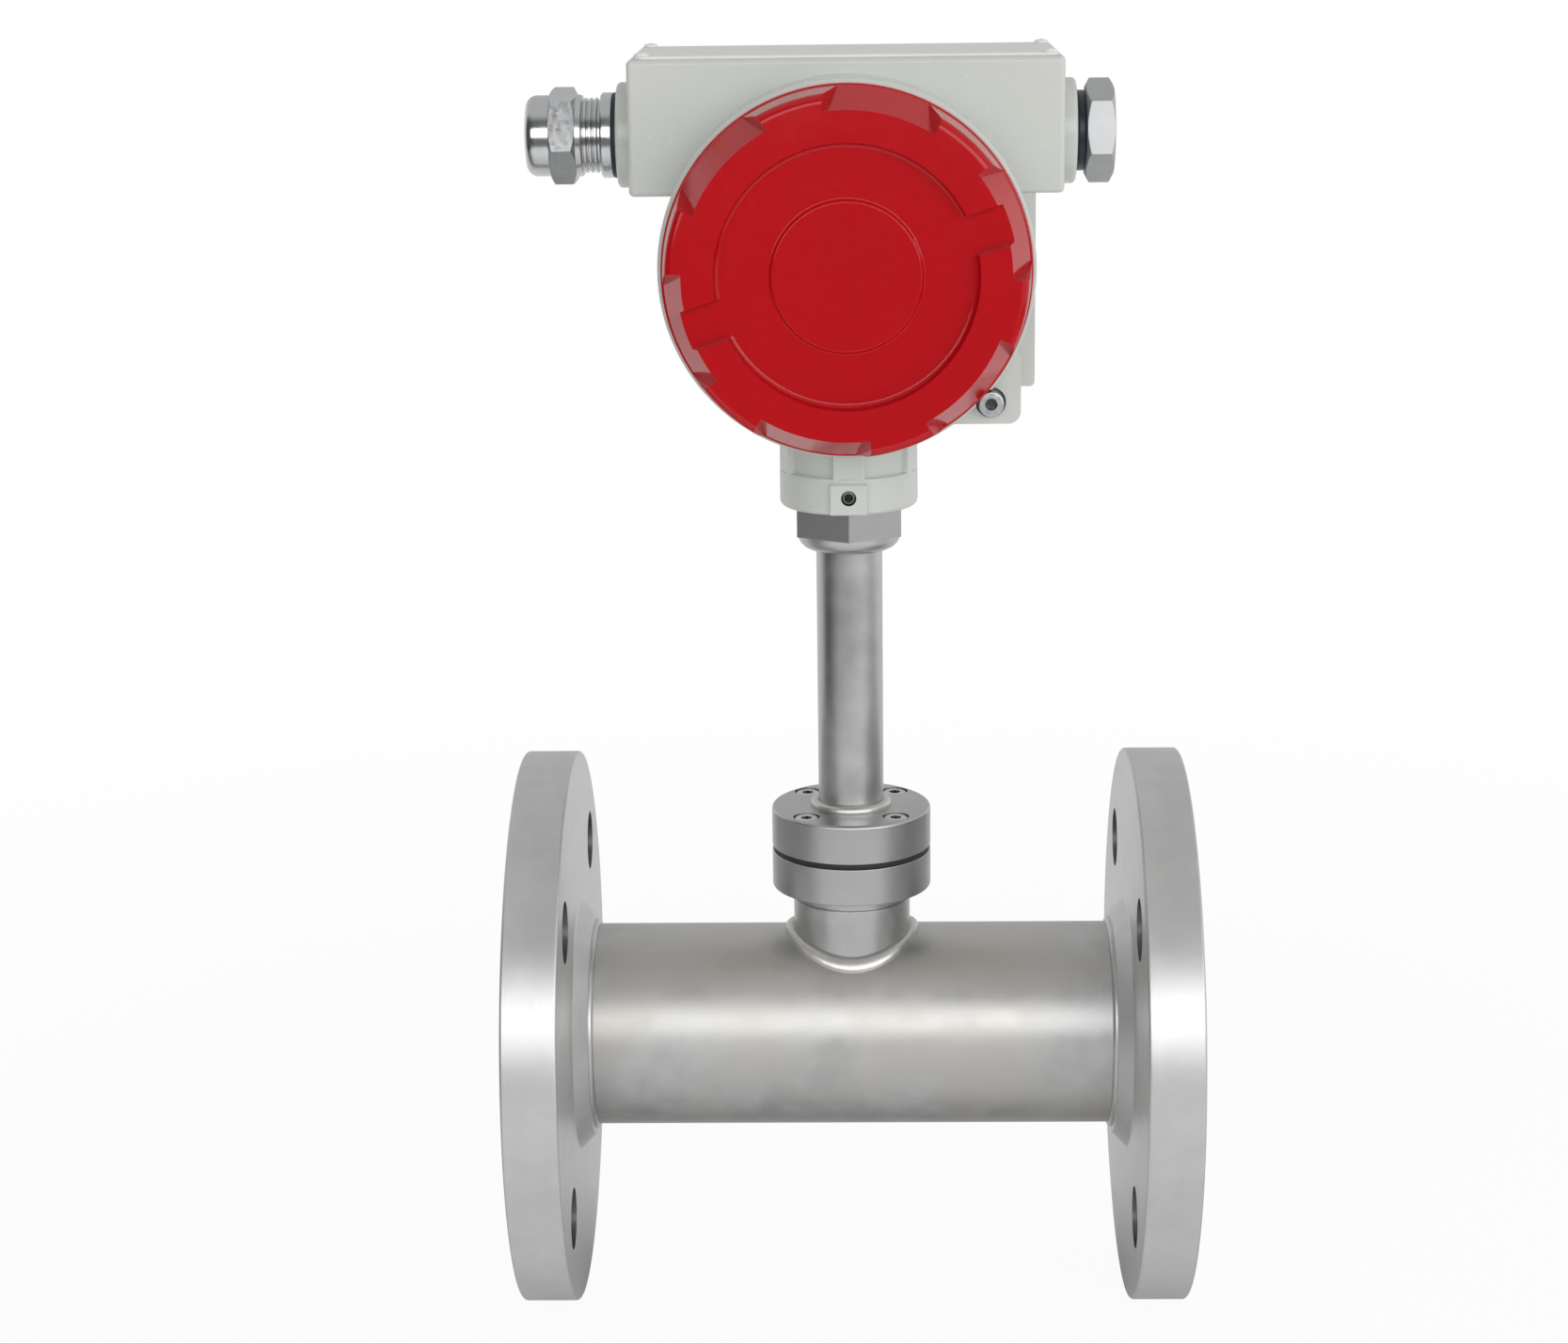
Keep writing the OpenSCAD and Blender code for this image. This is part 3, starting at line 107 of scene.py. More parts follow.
def length(title, words, value):
    return bpy.props.FloatProperty(
        name=title, description=words, default=value * MM, min=0, unit="LENGTH", precision=5)


def angle(title, words, degrees):
    return bpy.props.FloatProperty(
        name=title, description=words, default=math.radians(degrees), subtype="ANGLE")


def share(title, words, value):
    return bpy.props.FloatProperty(
        name=title, description=words, default=value, min=0, max=1, subtype="FACTOR")


def colour(title, words, value):
    return bpy.props.FloatVectorProperty(
        name=title, description=words, default=value, min=0, max=1, size=3, subtype="COLOR")


class SpoolSizes(bpy.types.PropertyGroup):
    """Sizes of the pipe, the flanges and the stem."""

    flange_round: length("Flange edge", "Rounding of the flanges' outer edges", 0.9)
    hole_r: length("Bolt hole", "Radius of the bolt holes", 9)
    bolt_circle_r: length("Bolt circle", "Radius of the bolt circle", 62.5)
    raised_r: length("Raised face", "Radius of the raised sealing face", 51)
    raised_height: length("Raised face height", "Height of the raised sealing face", 2)
    plate_thick: length("Plate", "Thickness of the flange plate", 16)
    hub_r: length("Hub", "Radius of the hub at the plate", 37.5)
    pipe_wall: length("Pipe wall", "Wall of the pipe", 3.9)
    weld_r: length("Weld", "Radius of the weld beads' section", 1.9)
    ripple_share: share("Ripple", "Height of the weld ripples as a share of the bead", 0.02)


class CoverSizes(bpy.types.PropertyGroup):
    """Sizes of the two screw-on covers."""

    lip_thick: length("Lip", "Thickness of the lip round the cover", 3.4)
    height: length("Height", "Height of the cover over the drum", 16.5)
    face_r: length("Face", "Radius of the face between the gripping lugs", 44.2)
    lug_round: length("Lug edge", "Rounding of the lugs' front edge", 2.6)
    notch_count: bpy.props.IntProperty(
        name="Notches", description="Number of gripping notches", default=6, min=3, max=12)
    notch_turn: angle("Notch turn", "Turn of the first notch from the drum's side", 18)
    notch_low: angle("Notch at the lip", "Width of a notch at the lip", 28.6)
    notch_high: angle("Notch at the face", "Width of a notch at the face", 39.6)
    centre_r: length("Sunk centre", "Radius of the sunk centre", 35.2)
    centre_depth: length("Centre depth", "Depth of the sunk centre", 3.2)
    disc_r: length("Disc", "Radius of the raised disc", 20)
    disc_height: length("Disc height", "Height of the raised disc", 0.8)
    channel: length("Bar channel", "Width of the channels for a bar", 10.4)
    window_r: length("Window", "Radius of the window's opening", 32)
    edge: length("Edges", "Rounding of the painted edges", 0.55)


class HousingSizes(bpy.types.PropertyGroup):
    """Sizes of the housing casting."""

    drum_r: length("Drum", "Radius of the drum", 51.4)
    drum_half: length("Half drum", "Half the length of the drum", 45)
    box_half_width: length("Half box", "Half the width of the box", 59.8)
    box_half_depth: length("Half box depth", "Half the depth of the box", 27.5)
    box_height: length("Box height", "Height of the box", 37)
    pad_reach: length("Pad", "Distance of the side pad from the drum's middle", 52)
    pad_drop: length("Pad drop", "How far the side pad reaches below the middle", 35)
    corner: length("Corner", "Rounding of the box's corners", 1.4)


class Colours(bpy.types.PropertyGroup):
    """Colours of the finishes."""

    steel: colour("Steel", "Blasted stainless steel", (0.58, 0.585, 0.58))
    turned: colour("Turned steel", "Machined stainless steel", (0.515, 0.52, 0.52))
    weld: colour("Weld", "Cleaned weld bead", (0.66, 0.65, 0.62))
    housing: colour("Housing", "Pale grey powder coat", (0.63, 0.65, 0.612))
    plate: colour("Plate", "Pale blank nameplate", (0.85, 0.86, 0.84))
    cover: colour("Cover", "Red powder coat", (0.485, 0.0025, 0.007))
    nickel: colour("Nickel", "Nickel plate", (0.62, 0.63, 0.64))
    rubber: colour("Rubber", "Black rubber", (0.012, 0.014, 0.018))
    board: colour("Board", "Green solder mask", (0.012, 0.12, 0.05))
    brass: colour("Brass", "Plain brass", (0.66, 0.46, 0.16))
    display: colour("Display", "Unlit display field", (0.30, 0.36, 0.20))


class MeterSettings(bpy.types.PropertyGroup):
    """All the settings of the meter."""

    spool: bpy.props.PointerProperty(type=SpoolSizes, name="Spool", description="Pipe and stem")
    cover: bpy.props.PointerProperty(type=CoverSizes, name="Covers", description="The covers")
    housing: bpy.props.PointerProperty(type=HousingSizes, name="Housing", description="Casting")
    colours: bpy.props.PointerProperty(type=Colours, name="Colours", description="Finishes")


def settings():
    return bpy.context.scene.flow_meter


# Shader nodes

class Value:
    """A number that changes over a surface. Sums and products of it add Math nodes."""

    def __init__(self, graph, socket):
        self.graph = graph
        self.socket = socket

    def math(self, operation, *others):
        node = self.graph.node("ShaderNodeMath", {"operation": operation},
                               dict(enumerate((self, *others))))
        return Value(self.graph, node.outputs[0])

    def __add__(self, other):
        return self.math("ADD", other)

    __radd__ = __add__

    def __mul__(self, other):
        return self.math("MULTIPLY", other)

    __rmul__ = __mul__

    def __sub__(self, other):
        return self.math("SUBTRACT", other)

    def __rsub__(self, other):
        return (self * -1) + other

    def __truediv__(self, other):
        return self.math("DIVIDE", other)

    def __rtruediv__(self, other):
        return (self ** -1) * other

    def __pow__(self, other):
        return self.math("POWER", other)

    def toward(self, other, factor):
        """This value where the factor is 0, and the other where it is 1."""
        return self + factor * (other - self)


class Graph:
    """The node tree of a material or of the world."""

    def __init__(self, owner):
        owner.use_nodes = True
        self.tree = owner.node_tree
        self.tree.nodes.clear()

    def node(self, kind, choices=None, sockets=None):
        """Makes a node, sets its choices, then its sockets to values or links."""
        made = self.tree.nodes.new(kind)
        for key, choice in (choices or {}).items():
            setattr(made, key, choice)
        for key, value in (sockets or {}).items():
            self.feed(made.inputs[key], value)
        return made

    def feed(self, socket, value):
        """Sets a socket to a number or colour, or links it."""
        if isinstance(value, Value):
            value = value.socket
        if isinstance(value, bpy.types.NodeSocket):
            self.tree.links.new(value, socket)
        elif socket.type == "RGBA" and len(value) == 3:
            socket.default_value = (*value, 1)
        else:
            socket.default_value = value

    def ramp(self, value, low, high, start=0.0, end=1.0):
        """Maps low..high of a value to start..end, and no further."""
        node = self.node("ShaderNodeMapRange", {"clamp": True},
                         {"Value": value, "From Min": low, "From Max": high,
                          "To Min": start, "To Max": end})
        return Value(self, node.outputs[0])

    def shown(self, *kinds):
        """One for rays of these kinds, such as Camera or Glossy, and zero for the others."""
        path = self.node("ShaderNodeLightPath")
        first, *others = (Value(self, path.outputs[f"Is {kind} Ray"]) for kind in kinds)
        return sum(others, first).math("MINIMUM", 1.0)


class Finish(Graph):
    """One material, its shader and the nodes that feed it. Its grains are in millimetres."""

    HOLE_RIM = 0.15 * MM

    def __init__(self, name, **constants):
        self.material = bpy.data.materials.new(name)
        super().__init__(self.material)
        self.shader = self.node("ShaderNodeBsdfPrincipled")
        self.output = self.node("ShaderNodeOutputMaterial", {}, {"Surface": self.shader.outputs[0]})
        self.place = self.node("ShaderNodeTexCoord").outputs["Object"]
        self.paint(**constants)

    def paint(self, **links):
        """Feeds the shader's sockets, named with underscores."""
        for key, value in links.items():
            self.feed(self.shader.inputs[key.replace("_", " ")], value)

    def noise(self, size, detail=3, rough=0.5, place=None, distortion=0.0):
        """Noise whose grains are about as wide as size."""
        node = self.node("ShaderNodeTexNoise", {},
                         {"Vector": place or self.place, "Scale": 1 / (size * MM),
                          "Detail": detail, "Roughness": rough, "Distortion": distortion})
        return Value(self, node.outputs[0])

    def bricks(self, offset, line, width, height):
        """One on the lines between bricks, on a face square to Y, and zero on the bricks."""
        upright = self.node("ShaderNodeMapping", {}, {
            "Vector": self.place, "Rotation": (math.radians(90), 0, 0)})
        node = self.node("ShaderNodeTexBrick", {"offset": offset}, {
            "Vector": upright.outputs[0], "Scale": 1.0, "Mortar Size": line * MM,
            "Brick Width": width * MM, "Row Height": height * MM})
        return Value(self, node.outputs["Fac"])

    def mix(self, factor, first, second):
        """A colour between two others."""
        node = self.node("ShaderNodeMix", {"data_type": "RGBA"}, {0: factor, 6: first, 7: second})
        return node.outputs[2]

    def tones(self, value, low, high, tint, first, second=1.0):
        """Shades of a tint, from one factor of it at the value's low to another at its high."""
        return self.mix(self.ramp(value, low, high), darker(tint, first), darker(tint, second))

    def vector_math(self, operation, *inputs):
        return self.node("ShaderNodeVectorMath", {"operation": operation}, dict(enumerate(inputs)))

    def distance_from(self, axis, centre):
        """Distance of a surface point from a line along an axis through a centre."""
        moved = self.vector_math("SUBTRACT", self.place, centre).outputs[0]
        flat = tuple(float(letter != axis) for letter in "XYZ")
        across = self.vector_math("MULTIPLY", moved, flat).outputs[0]
        return Value(self, self.vector_math("LENGTH", across).outputs["Value"])

    def along(self, axis):
        """Place of a surface point along an axis."""
        split = self.node("ShaderNodeSeparateXYZ", {}, {0: self.place})
        return Value(self, split.outputs[axis])

    def with_hole_shade(self, paint, inside, axis, holes):
        """A colour with a painted shade inside holes, each a (middle, radius, reach) along an axis.
        """
        for middle, radius, reach in holes:
            across = self.distance_from(axis, middle)
            depth = (self.along(axis) - middle["XYZ".index(axis)]).math("ABSOLUTE")
            within = (self.ramp(across, radius, radius + self.HOLE_RIM, 1.0, 0.0)
                      * self.ramp(depth, reach, reach + self.HOLE_RIM, 1.0, 0.0))
            paint = self.mix(within, paint, inside)
        return paint

    def coated(self, paint, rough, height, depth, strength):
        """The material, with a colour, a roughness and the relief of a height."""
        bump = self.node("ShaderNodeBump", {}, {
            "Height": height, "Distance": depth * MM, "Strength": strength})
        self.paint(Base_Color=paint, Roughness=rough, Normal=bump.outputs[0])
        return self.material


def darker(tint, factor):
    return tuple(channel * factor for channel in tint)


# Finishes

def blasted_steel(name, tint, rough=0.36, grain=0.35, warm=0.0):
    """Pickled and blasted steel: fine grain, cloudy patches and a faint warm cast in places."""
    finish = Finish(name, Metallic=1.0)
    clouds = finish.noise(26, 4, 0.6, distortion=0.4)
    patches = finish.noise(9)
    fine = finish.noise(grain, 2)
    paint = finish.tones(clouds * 0.6 + patches * 0.4, 0.4, 0.6, tint, 0.88, 1.07)
    if warm:
        cast = finish.ramp(finish.noise(44, distortion=0.5), 0.42, 0.6, 0.0, warm)
        paint = finish.mix(cast, paint, (tint[0], tint[1] * 0.965, tint[2] * 0.915))
    dull = finish.ramp(clouds * 0.5 + patches * 0.3 + fine * 0.2, 0.35, 0.65,
                       rough - 0.06, rough + 0.1)
    return finish.coated(paint, dull, fine * 0.7 + patches * 0.3, 0.03, 0.3)


def turned_steel(name, tint, axis, centre, pitch=0.28, rough=0.28, depth=0.02, holes=()):
    """Machined steel with fine tool marks round its axis, and painted shade in its holes."""
    finish = Finish(name, Metallic=1.0, Anisotropic=0.35)
    tool = finish.node("ShaderNodeCombineXYZ", {}, {
        0: finish.distance_from(axis, centre), 1: finish.along(axis)})
    rings = finish.noise(pitch, rough=0.7, place=tool.outputs[0])
    stains = finish.noise(9, distortion=0.3)
    paint = finish.tones(stains * 0.6 + rings * 0.4, 0.3, 0.7, tint, 0.94, 1.05)
    return finish.coated(finish.with_hole_shade(paint, darker(tint, 0.4), axis, holes),
                         finish.ramp(rings, 0.3, 0.7, rough - 0.03, rough + 0.06),
                         rings, depth, 0.35)


def powder_coat(name, tint, rough, peel=2.2, index=1.5, holes=()):
    """Baked powder coat with slight orange peel, and painted shade inside screw holes."""
    finish = Finish(name, IOR=index)
    waves = finish.noise(peel, 2)
    dust = finish.noise(0.6, 1)
    paint = finish.tones(finish.noise(30, 2), 0.35, 0.65, tint, 0.98, 1.015)
    dull = finish.ramp(dust * 0.3 + waves * 0.7, 0.3, 0.7, rough - 0.02, rough + 0.04)
    return finish.coated(finish.with_hole_shade(paint, darker(tint, 0.06), "Y", holes), dull, waves,
                         0.006, 0.5)


def plated(name, tint, rough, axis="Z", holes=()):
    """Plated metal with a soft polish and faint scuffs, and painted shade in its sockets."""
    finish = Finish(name, Metallic=1.0)
    scuffs = finish.noise(1.6, 5, 0.65, distortion=0.6)
    paint = finish.tones(finish.noise(11, 2), 0.35, 0.65, tint, 0.93)
    return finish.coated(finish.with_hole_shade(paint, darker(tint, 0.2), axis, holes),
                         finish.ramp(scuffs, 0.35, 0.75, rough, rough + 0.12), scuffs, 0.01, 0.4)


def rubber(name, tint, rough=0.55):
    """Moulded rubber or fibre with a dry, slightly dusty skin."""
    finish = Finish(name, Sheen_Weight=0.15, Sheen_Roughness=0.5)
    skin = finish.noise(0.5, 4, 0.6)
    return finish.coated(finish.tones(finish.noise(5), 0.45, 0.8, tint, 1.0, 1.9),
                         finish.ramp(skin, 0.3, 0.7, rough - 0.08, rough + 0.12), skin, 0.03, 0.5)


def moulded_plastic(name, tint, rough=0.4):
    """Moulded plastic with a fine spark-eroded grain."""
    finish = Finish(name)
    skin = finish.noise(0.3, 3, 0.55)
    return finish.coated(finish.tones(finish.noise(14, 2), 0.3, 0.7, tint, 0.94),
                         finish.ramp(skin, 0.3, 0.7, rough - 0.05, rough + 0.08), skin, 0.02, 0.5)


def circuit_board(name, tint):
    """Solder mask over copper: straight tracks, pads and open laminate."""
    finish = Finish(name, Coat_Weight=0.35, Coat_Roughness=0.15)
    track = finish.bricks(0.5, 0.35, 9, 2.2)
    pads = finish.node("ShaderNodeTexVoronoi", {}, {
        "Vector": finish.place, "Scale": 1 / (3.4 * MM), "Randomness": 0.75})
    pad = finish.ramp(Value(finish, pads.outputs["Distance"]), 0.14, 0.17, 1.0, 0.0)
    mask = finish.mix(track * 0.55, tint, darker(tint, 1.9))
    finish.paint(Metallic=pad * 0.9)
    return finish.coated(finish.mix(pad, mask, (0.72, 0.70, 0.62)),
                         finish.ramp(pad, 0.0, 1.0, 0.38, 0.25), track * 0.5 + pad, 0.04, 0.6)


def window_glass(name):
    """Clear glass with faint smears."""
    finish = Finish(name, Transmission_Weight=1.0, IOR=1.5, Base_Color=(0.97, 0.99, 0.98))
    smears = finish.noise(12, 4, distortion=0.8)
    finish.paint(Roughness=finish.ramp(smears, 0.4, 0.8, 0.0, 0.04))
    return finish.material


def display_field(name, tint):
    """Reflective display glass with a faint dot grid."""
    finish = Finish(name, Coat_Weight=0.8, Coat_Roughness=0.04)
    grid = finish.bricks(0.0, 0.05, 0.5, 0.5)
    tone = finish.noise(18, 2)
    dim = finish.tones(tone, 0.3, 0.7, tint, 0.92)
    finish.paint(Base_Color=finish.mix(grid * 0.3, dim, darker(tint, 0.8)),
                 Roughness=finish.ramp(tone, 0.3, 0.7, 0.28, 0.36))
    return finish.material


def made_finishes():
    """Every finish by the name that pieces call it."""
    colours, spool = settings().colours, settings().spool
    steel, turned, nickel = colours.steel, colours.turned, colours.nickel
    stem = (STEM_X, 0, 0)
    bolt = spool.bolt_circle_r * math.sqrt(0.5)
    # Places whose insides get painted shade: bolt holes, screw sockets, the lock screw's seat and the
    # set screw's hole
    bolt_holes = [((STEM_X, y, PIPE_MID.z + z), spool.hole_r, STEM_X)
                  for y in (-bolt, bolt) for z in (-bolt, bolt)]
    sockets = [((spot.translation.x + STEM_X, spot.translation.y, 0), 1.5 * MM, HOUSING_LOW.z)
               for spot in spots(4, SCREW_CIRCLE)]
    lock = (STEM_X + LOCK_X, 0, DRUM_Z - LOCK_DROP)
    set_screw_reach = 8 * MM
    return {
        "pipe": blasted_steel("pipe_steel", steel, 0.42, warm=0.8),
        "flange": turned_steel("flange_steel", darker(steel, 1.12), "X", (0, 0, PIPE_MID.z), 0.5,
                               0.42, 0.008, bolt_holes),
        "branch": blasted_steel("branch_steel", steel, 0.35),
        "weld": blasted_steel("weld_steel", colours.weld, grain=0.8),
        "turned": turned_steel("turned_steel", turned, "Z", stem, rough=0.32, depth=0.008),
        "stem": blasted_steel("stem_steel", darker(steel, 0.96), 0.34, 0.25),
        "adapter": turned_steel("adapter_steel", darker(turned, 1.12), "Z", stem, rough=0.32,
                                depth=0.006),
        "screw": plated("screw_steel", darker(nickel, 1.08), 0.3, holes=sockets),
        "lock_screw": plated("lock_screw_steel", darker(nickel, 1.05), 0.3, "Y",
                             [(lock, 1.6 * MM, 2 * HOUSING_HIGH.y)]),
        "dark_screw": plated("dark_screw_steel", (0.25, 0.26, 0.27), 0.3, "Y",
                             [(SET_SCREW_MID, 1.2 * MM, set_screw_reach)]),
        "probe": plated("probe_steel", darker(nickel, 1.1), 0.14),
        "rubber": rubber("seal_rubber", colours.rubber),
        "navy_rubber": rubber("plug_ring_rubber", (0.008, 0.014, 0.026), 0.35),
        "cable": rubber("cable_sheath", (0.02, 0.02, 0.024), 0.45),
        "connector": moulded_plastic("connector_plastic", (0.72, 0.69, 0.60)),
        "housing": powder_coat("housing_coat", colours.housing, 0.24, holes=[
            (lock, 4.1 * MM, HOUSING_HIGH.y), (SET_SCREW_MID, 2.1 * MM, set_screw_reach)]),
        "cover": powder_coat("cover_coat", colours.cover, 0.14, 3, 1.42),
        "plate": powder_coat("plate_coat", colours.plate, 0.36),
        "glass": window_glass("window_glass"),
        "black_metal": plated("black_ring", (0.03, 0.03, 0.033), 0.35),
        "nickel": plated("gland_nickel", nickel, 0.12),
        "satin_nickel": turned_steel("plug_nickel", darker(nickel, 0.88), "X", (0, 0, ENTRY_Z),
                                     0.22, 0.52),
        "brass": plated("brass", colours.brass, 0.2),
        "board": circuit_board("board_mask", colours.board),
        "terminal": moulded_plastic("terminal_plastic", (0.03, 0.20, 0.08), 0.3),
        "component": moulded_plastic("component_plastic", (0.015, 0.015, 0.017)),
        "display": display_field("display_field", colours.display),
        "bezel": moulded_plastic("bezel_plastic", (0.012, 0.013, 0.015), 0.42),
        "key": rubber("key_silicone", (0.09, 0.10, 0.11), 0.42),
    }


FINISHES = {}


def coat(data, finish):
    """Gives a mesh one finish all over."""
    if not FINISHES:
        FINISHES.update(made_finishes())
    data.materials.clear()
    data.materials.append(FINISHES[finish])
    data.polygons.foreach_set("material_index", [0] * len(data.polygons))


# Modelling. An outline is a list of corners (radius, height, rounding)

def mm(*corners, up=0.0):
    """Corners given in millimetres, from a height up."""
    return [(corner[0] * MM, up + corner[1] * MM, *(size * MM for size in corner[2:]))
            for corner in corners]


def rounded(corners, closed):
    """An outline with its corners turned into arcs."""
    points = []
    count = len(corners)
    for index, corner in enumerate(corners):
        here = Vector(corner[:2])
        size = corner[2] if len(corner) > 2 else 0
        at_end = not closed and index in (0, count - 1)
        if size == 0 or at_end:
            points.append(here)
            continue
        back, ahead = ((Vector(corners[near % count][:2]) - here).normalized()
                       for near in (index - 1, index + 1))
        half = back.angle(ahead) / 2
        middle = here + (back + ahead).normalized() * (size / math.sin(half))
        start = here + back * (size / math.tan(half)) - middle
        end = here + ahead * (size / math.tan(half)) - middle
        sweep = start.angle_signed(end)
        points += [middle + Matrix.Rotation(-sweep * step / ARC_STEPS, 2) @ start
                   for step in range(ARC_STEPS + 1)]
    return points


def lathe(corners, steps=128, sweep=TURN):
    """Spins an outline about the Z axis. One that starts on the axis also ends there."""
    closed = corners[0][0] > 0
    bm = bmesh.new()
    verts = [bm.verts.new((radius, 0, height)) for radius, height in rounded(corners, closed)]
    pairs = list(zip(verts, verts[1:]))
    if closed:
        pairs.append((verts[-1], verts[0]))
    edges = [bm.edges.new(pair) for pair in pairs]
    full = abs(sweep - TURN) < MERGE
    spun = bmesh.ops.spin(bm, geom=verts + edges, cent=(0, 0, 0), axis=(0, 0, 1), angle=sweep,
                          steps=steps, use_merge=full)
    if not full:
        bm.faces.new(verts)
        bm.faces.new([item for item in spun["geom_last"] if isinstance(item, bmesh.types.BMVert)])
    bmesh.ops.remove_doubles(bm, verts=bm.verts, dist=MERGE)
    bmesh.ops.recalc_face_normals(bm, faces=bm.faces)
    return bm


def ring(inner, outer, low, high, steps, foot=0, top=0, bore=0):
    """A ring, or a disc with no inner radius, with its edges rounded by millimetres."""
    return lathe([(inner, low, bore * MM), (outer, low, foot * MM), (outer, high, top * MM),
                  (inner, high, bore * MM)], steps)


def thread(start, count, pitch, crest, root, rises):
    """Corners of the rings that stand for a thread, in millimetres, four on every pitch."""
    return [(radius, start + index * pitch + rise) for index in range(count)
            for radius, rise in zip((crest, crest, root, root), rises)]


def rod(radius, low, high, segments=48):
    """A plain round bar between two heights, for cuts."""
    bm = bmesh.new()
    bmesh.ops.create_cone(bm, cap_ends=True, segments=segments, radius1=radius, radius2=radius,
                          depth=high - low)
    bmesh.ops.translate(bm, verts=bm.verts, vec=(0, 0, (low + high) / 2))
    return bm


def prism(flats, low, high, degrees=0.0):
    """A hexagon bar between two heights, with a corner at +X before its turn."""
    bm = rod(flats / 2 / math.cos(math.pi / 6), low, high, 6)
    bmesh.ops.rotate(bm, verts=bm.verts, cent=(0, 0, 0),
                     matrix=Matrix.Rotation(math.radians(degrees - 90), 3, "Z"))
    return bm


def hexagon(flats, low, high, degrees, face_r, chamfer, rim=0.0):
    """A hexagon head with turned chamfers at both ends."""
    corner = flats / 2 / math.cos(math.pi / 6)
    form = lathe([(0, low), (face_r, low), (corner, low + chamfer, 0.3 * MM),
                  (corner, high - chamfer, 0.3 * MM), (face_r, high, rim), (0, high)], 96)
    return carved(prism(flats, low, high, degrees), form, how="INTERSECT")


def socket_screw(depth, shank):
    """A hexagon socket screw with its head's underside at zero."""
    shank_r = HEAD_R * 0.55
    body = lathe([(0, -shank), (shank_r, -shank, 0.4 * MM), (shank_r, 0), (HEAD_R, 0, 0.15 * MM),
                  (HEAD_R, HEAD_HEIGHT, 0.45 * MM), (0, HEAD_HEIGHT)], 48)
    return carved(body, prism(SOCKET, HEAD_HEIGHT - depth, HEAD_HEIGHT + OVERRUN))


def slab(low, high, axes, rounding, segments=6):
    """A box between two corners, with the edges along these axes rounded."""
    bm = bmesh.new()
    bmesh.ops.create_cube(bm, size=1)
    bmesh.ops.scale(bm, verts=bm.verts, vec=Vector(high) - Vector(low))
    bmesh.ops.translate(bm, verts=bm.verts, vec=(Vector(high) + Vector(low)) / 2)
    edges = [edge for edge in bm.edges if any(
        abs(edge.verts[0].co[index] - edge.verts[1].co[index]) > MERGE
        for index, axis in enumerate("XYZ") if axis in axes)]
    if edges:
        bmesh.ops.bevel(bm, geom=edges, offset=rounding, segments=segments, profile=0.5,
                        affect="EDGES", material=-1)
    return bm


def point(x, y, z, up):
    """A point given in millimetres from the stem's middle and a height."""
    return STEM_X + x * MM, y * MM, up + z * MM


def placed(bm, matrix):
    """Moves a mesh to its place."""
    bmesh.ops.transform(bm, matrix=matrix, verts=bm.verts)
    return bm


def at(x, y, z, degrees=0.0, axis="Z"):
    """A place, turned about an axis. Turned by 90 about Y, local Z points along +X."""
    return Matrix.Translation((x, y, z)) @ Matrix.Rotation(math.radians(degrees), 4, axis)


def at_stem(height=0.0):
    return at(STEM_X, 0, height)


def out_of_drum(rear=False):
    """Local Z points out of the drum's front or rear, from the drum's middle."""
    return at(STEM_X, 0, DRUM_Z, 180 if rear else 0) @ at(0, 0, 0, 90, "X")


def lock_place(rear, height=0.0):
    """Local Z points out of a cover lock screw, from a height over the drum's middle."""
    return out_of_drum(rear) @ at(-LOCK_X if rear else LOCK_X, -LOCK_DROP, height)


def spots(count, radius):
    """Evenly spaced places on a circle, the first at 45 degrees."""
    for index in range(count):
        turn = TURN / 8 + TURN * index / count
        yield at(radius * math.cos(turn), radius * math.sin(turn), 0)


def mesh_of(bm, name="scratch"):
    """The mesh data of a bmesh, which is freed."""
    data = bpy.data.meshes.new(name)
    bm.to_mesh(data)
    bm.free()
    return data


def in_scene(data, name="scratch"):
    made = bpy.data.objects.new(name, data)
    bpy.context.scene.collection.objects.link(made)
    return made


def joined(*meshes):
    """One mesh that holds several."""
    whole = bmesh.new()
    for bm in meshes:
        data = mesh_of(bm)
        whole.from_mesh(data)
        bpy.data.meshes.remove(data)
    return whole


def copies(make, places):
    """One mesh that holds what make gives, at every place."""
    return joined(*[placed(make(), place) for place in places])


def carved(bm, *tools, how="DIFFERENCE"):
    """A mesh with others cut from it, joined to it, or kept only where they overlap."""
    for tool in tools:
        body, other = [in_scene(mesh_of(mesh)) for mesh in (bm, tool)]
        step = body.modifiers.new("carve", "BOOLEAN")
        step.operation = how
        step.solver = "EXACT"
        step.object = other
        bpy.context.view_layer.update()
        graph = bpy.context.evaluated_depsgraph_get()
        result = bpy.data.meshes.new_from_object(body.evaluated_get(graph))
        bm = bmesh.new()
        bm.from_mesh(result)
        for data in (result, body.data, other.data):
            bpy.data.meshes.remove(data)
        bmesh.ops.remove_doubles(bm, verts=bm.verts, dist=MERGE)
        bmesh.ops.dissolve_degenerate(bm, edges=bm.edges, dist=MERGE)
    return bm


def bead(radius, share_of_r, ripples, seed):
    """A ring of weld with overlapping ripples, round the Z axis."""
    sizes = settings().spool
    section = sizes.weld_r * share_of_r
    bm = lathe([(radius + section * math.cos(turn), section * math.sin(turn))
                for turn in (TURN * index / BEAD_SIDES for index in range(BEAD_SIDES))], ripples * 4)
    for vert in bm.verts:
        turn = math.atan2(vert.co.y, vert.co.x)
        middle = Vector((radius * math.cos(turn), radius * math.sin(turn), 0))
        wave = abs(math.sin(turn * ripples / 2))
        wander = noise.noise(Vector((math.cos(turn) * 3, math.sin(turn) * 3, seed)))
        vert.co = middle + (vert.co - middle) * (
            1 - wave * sizes.ripple_share + wander * sizes.ripple_share)
    return bm


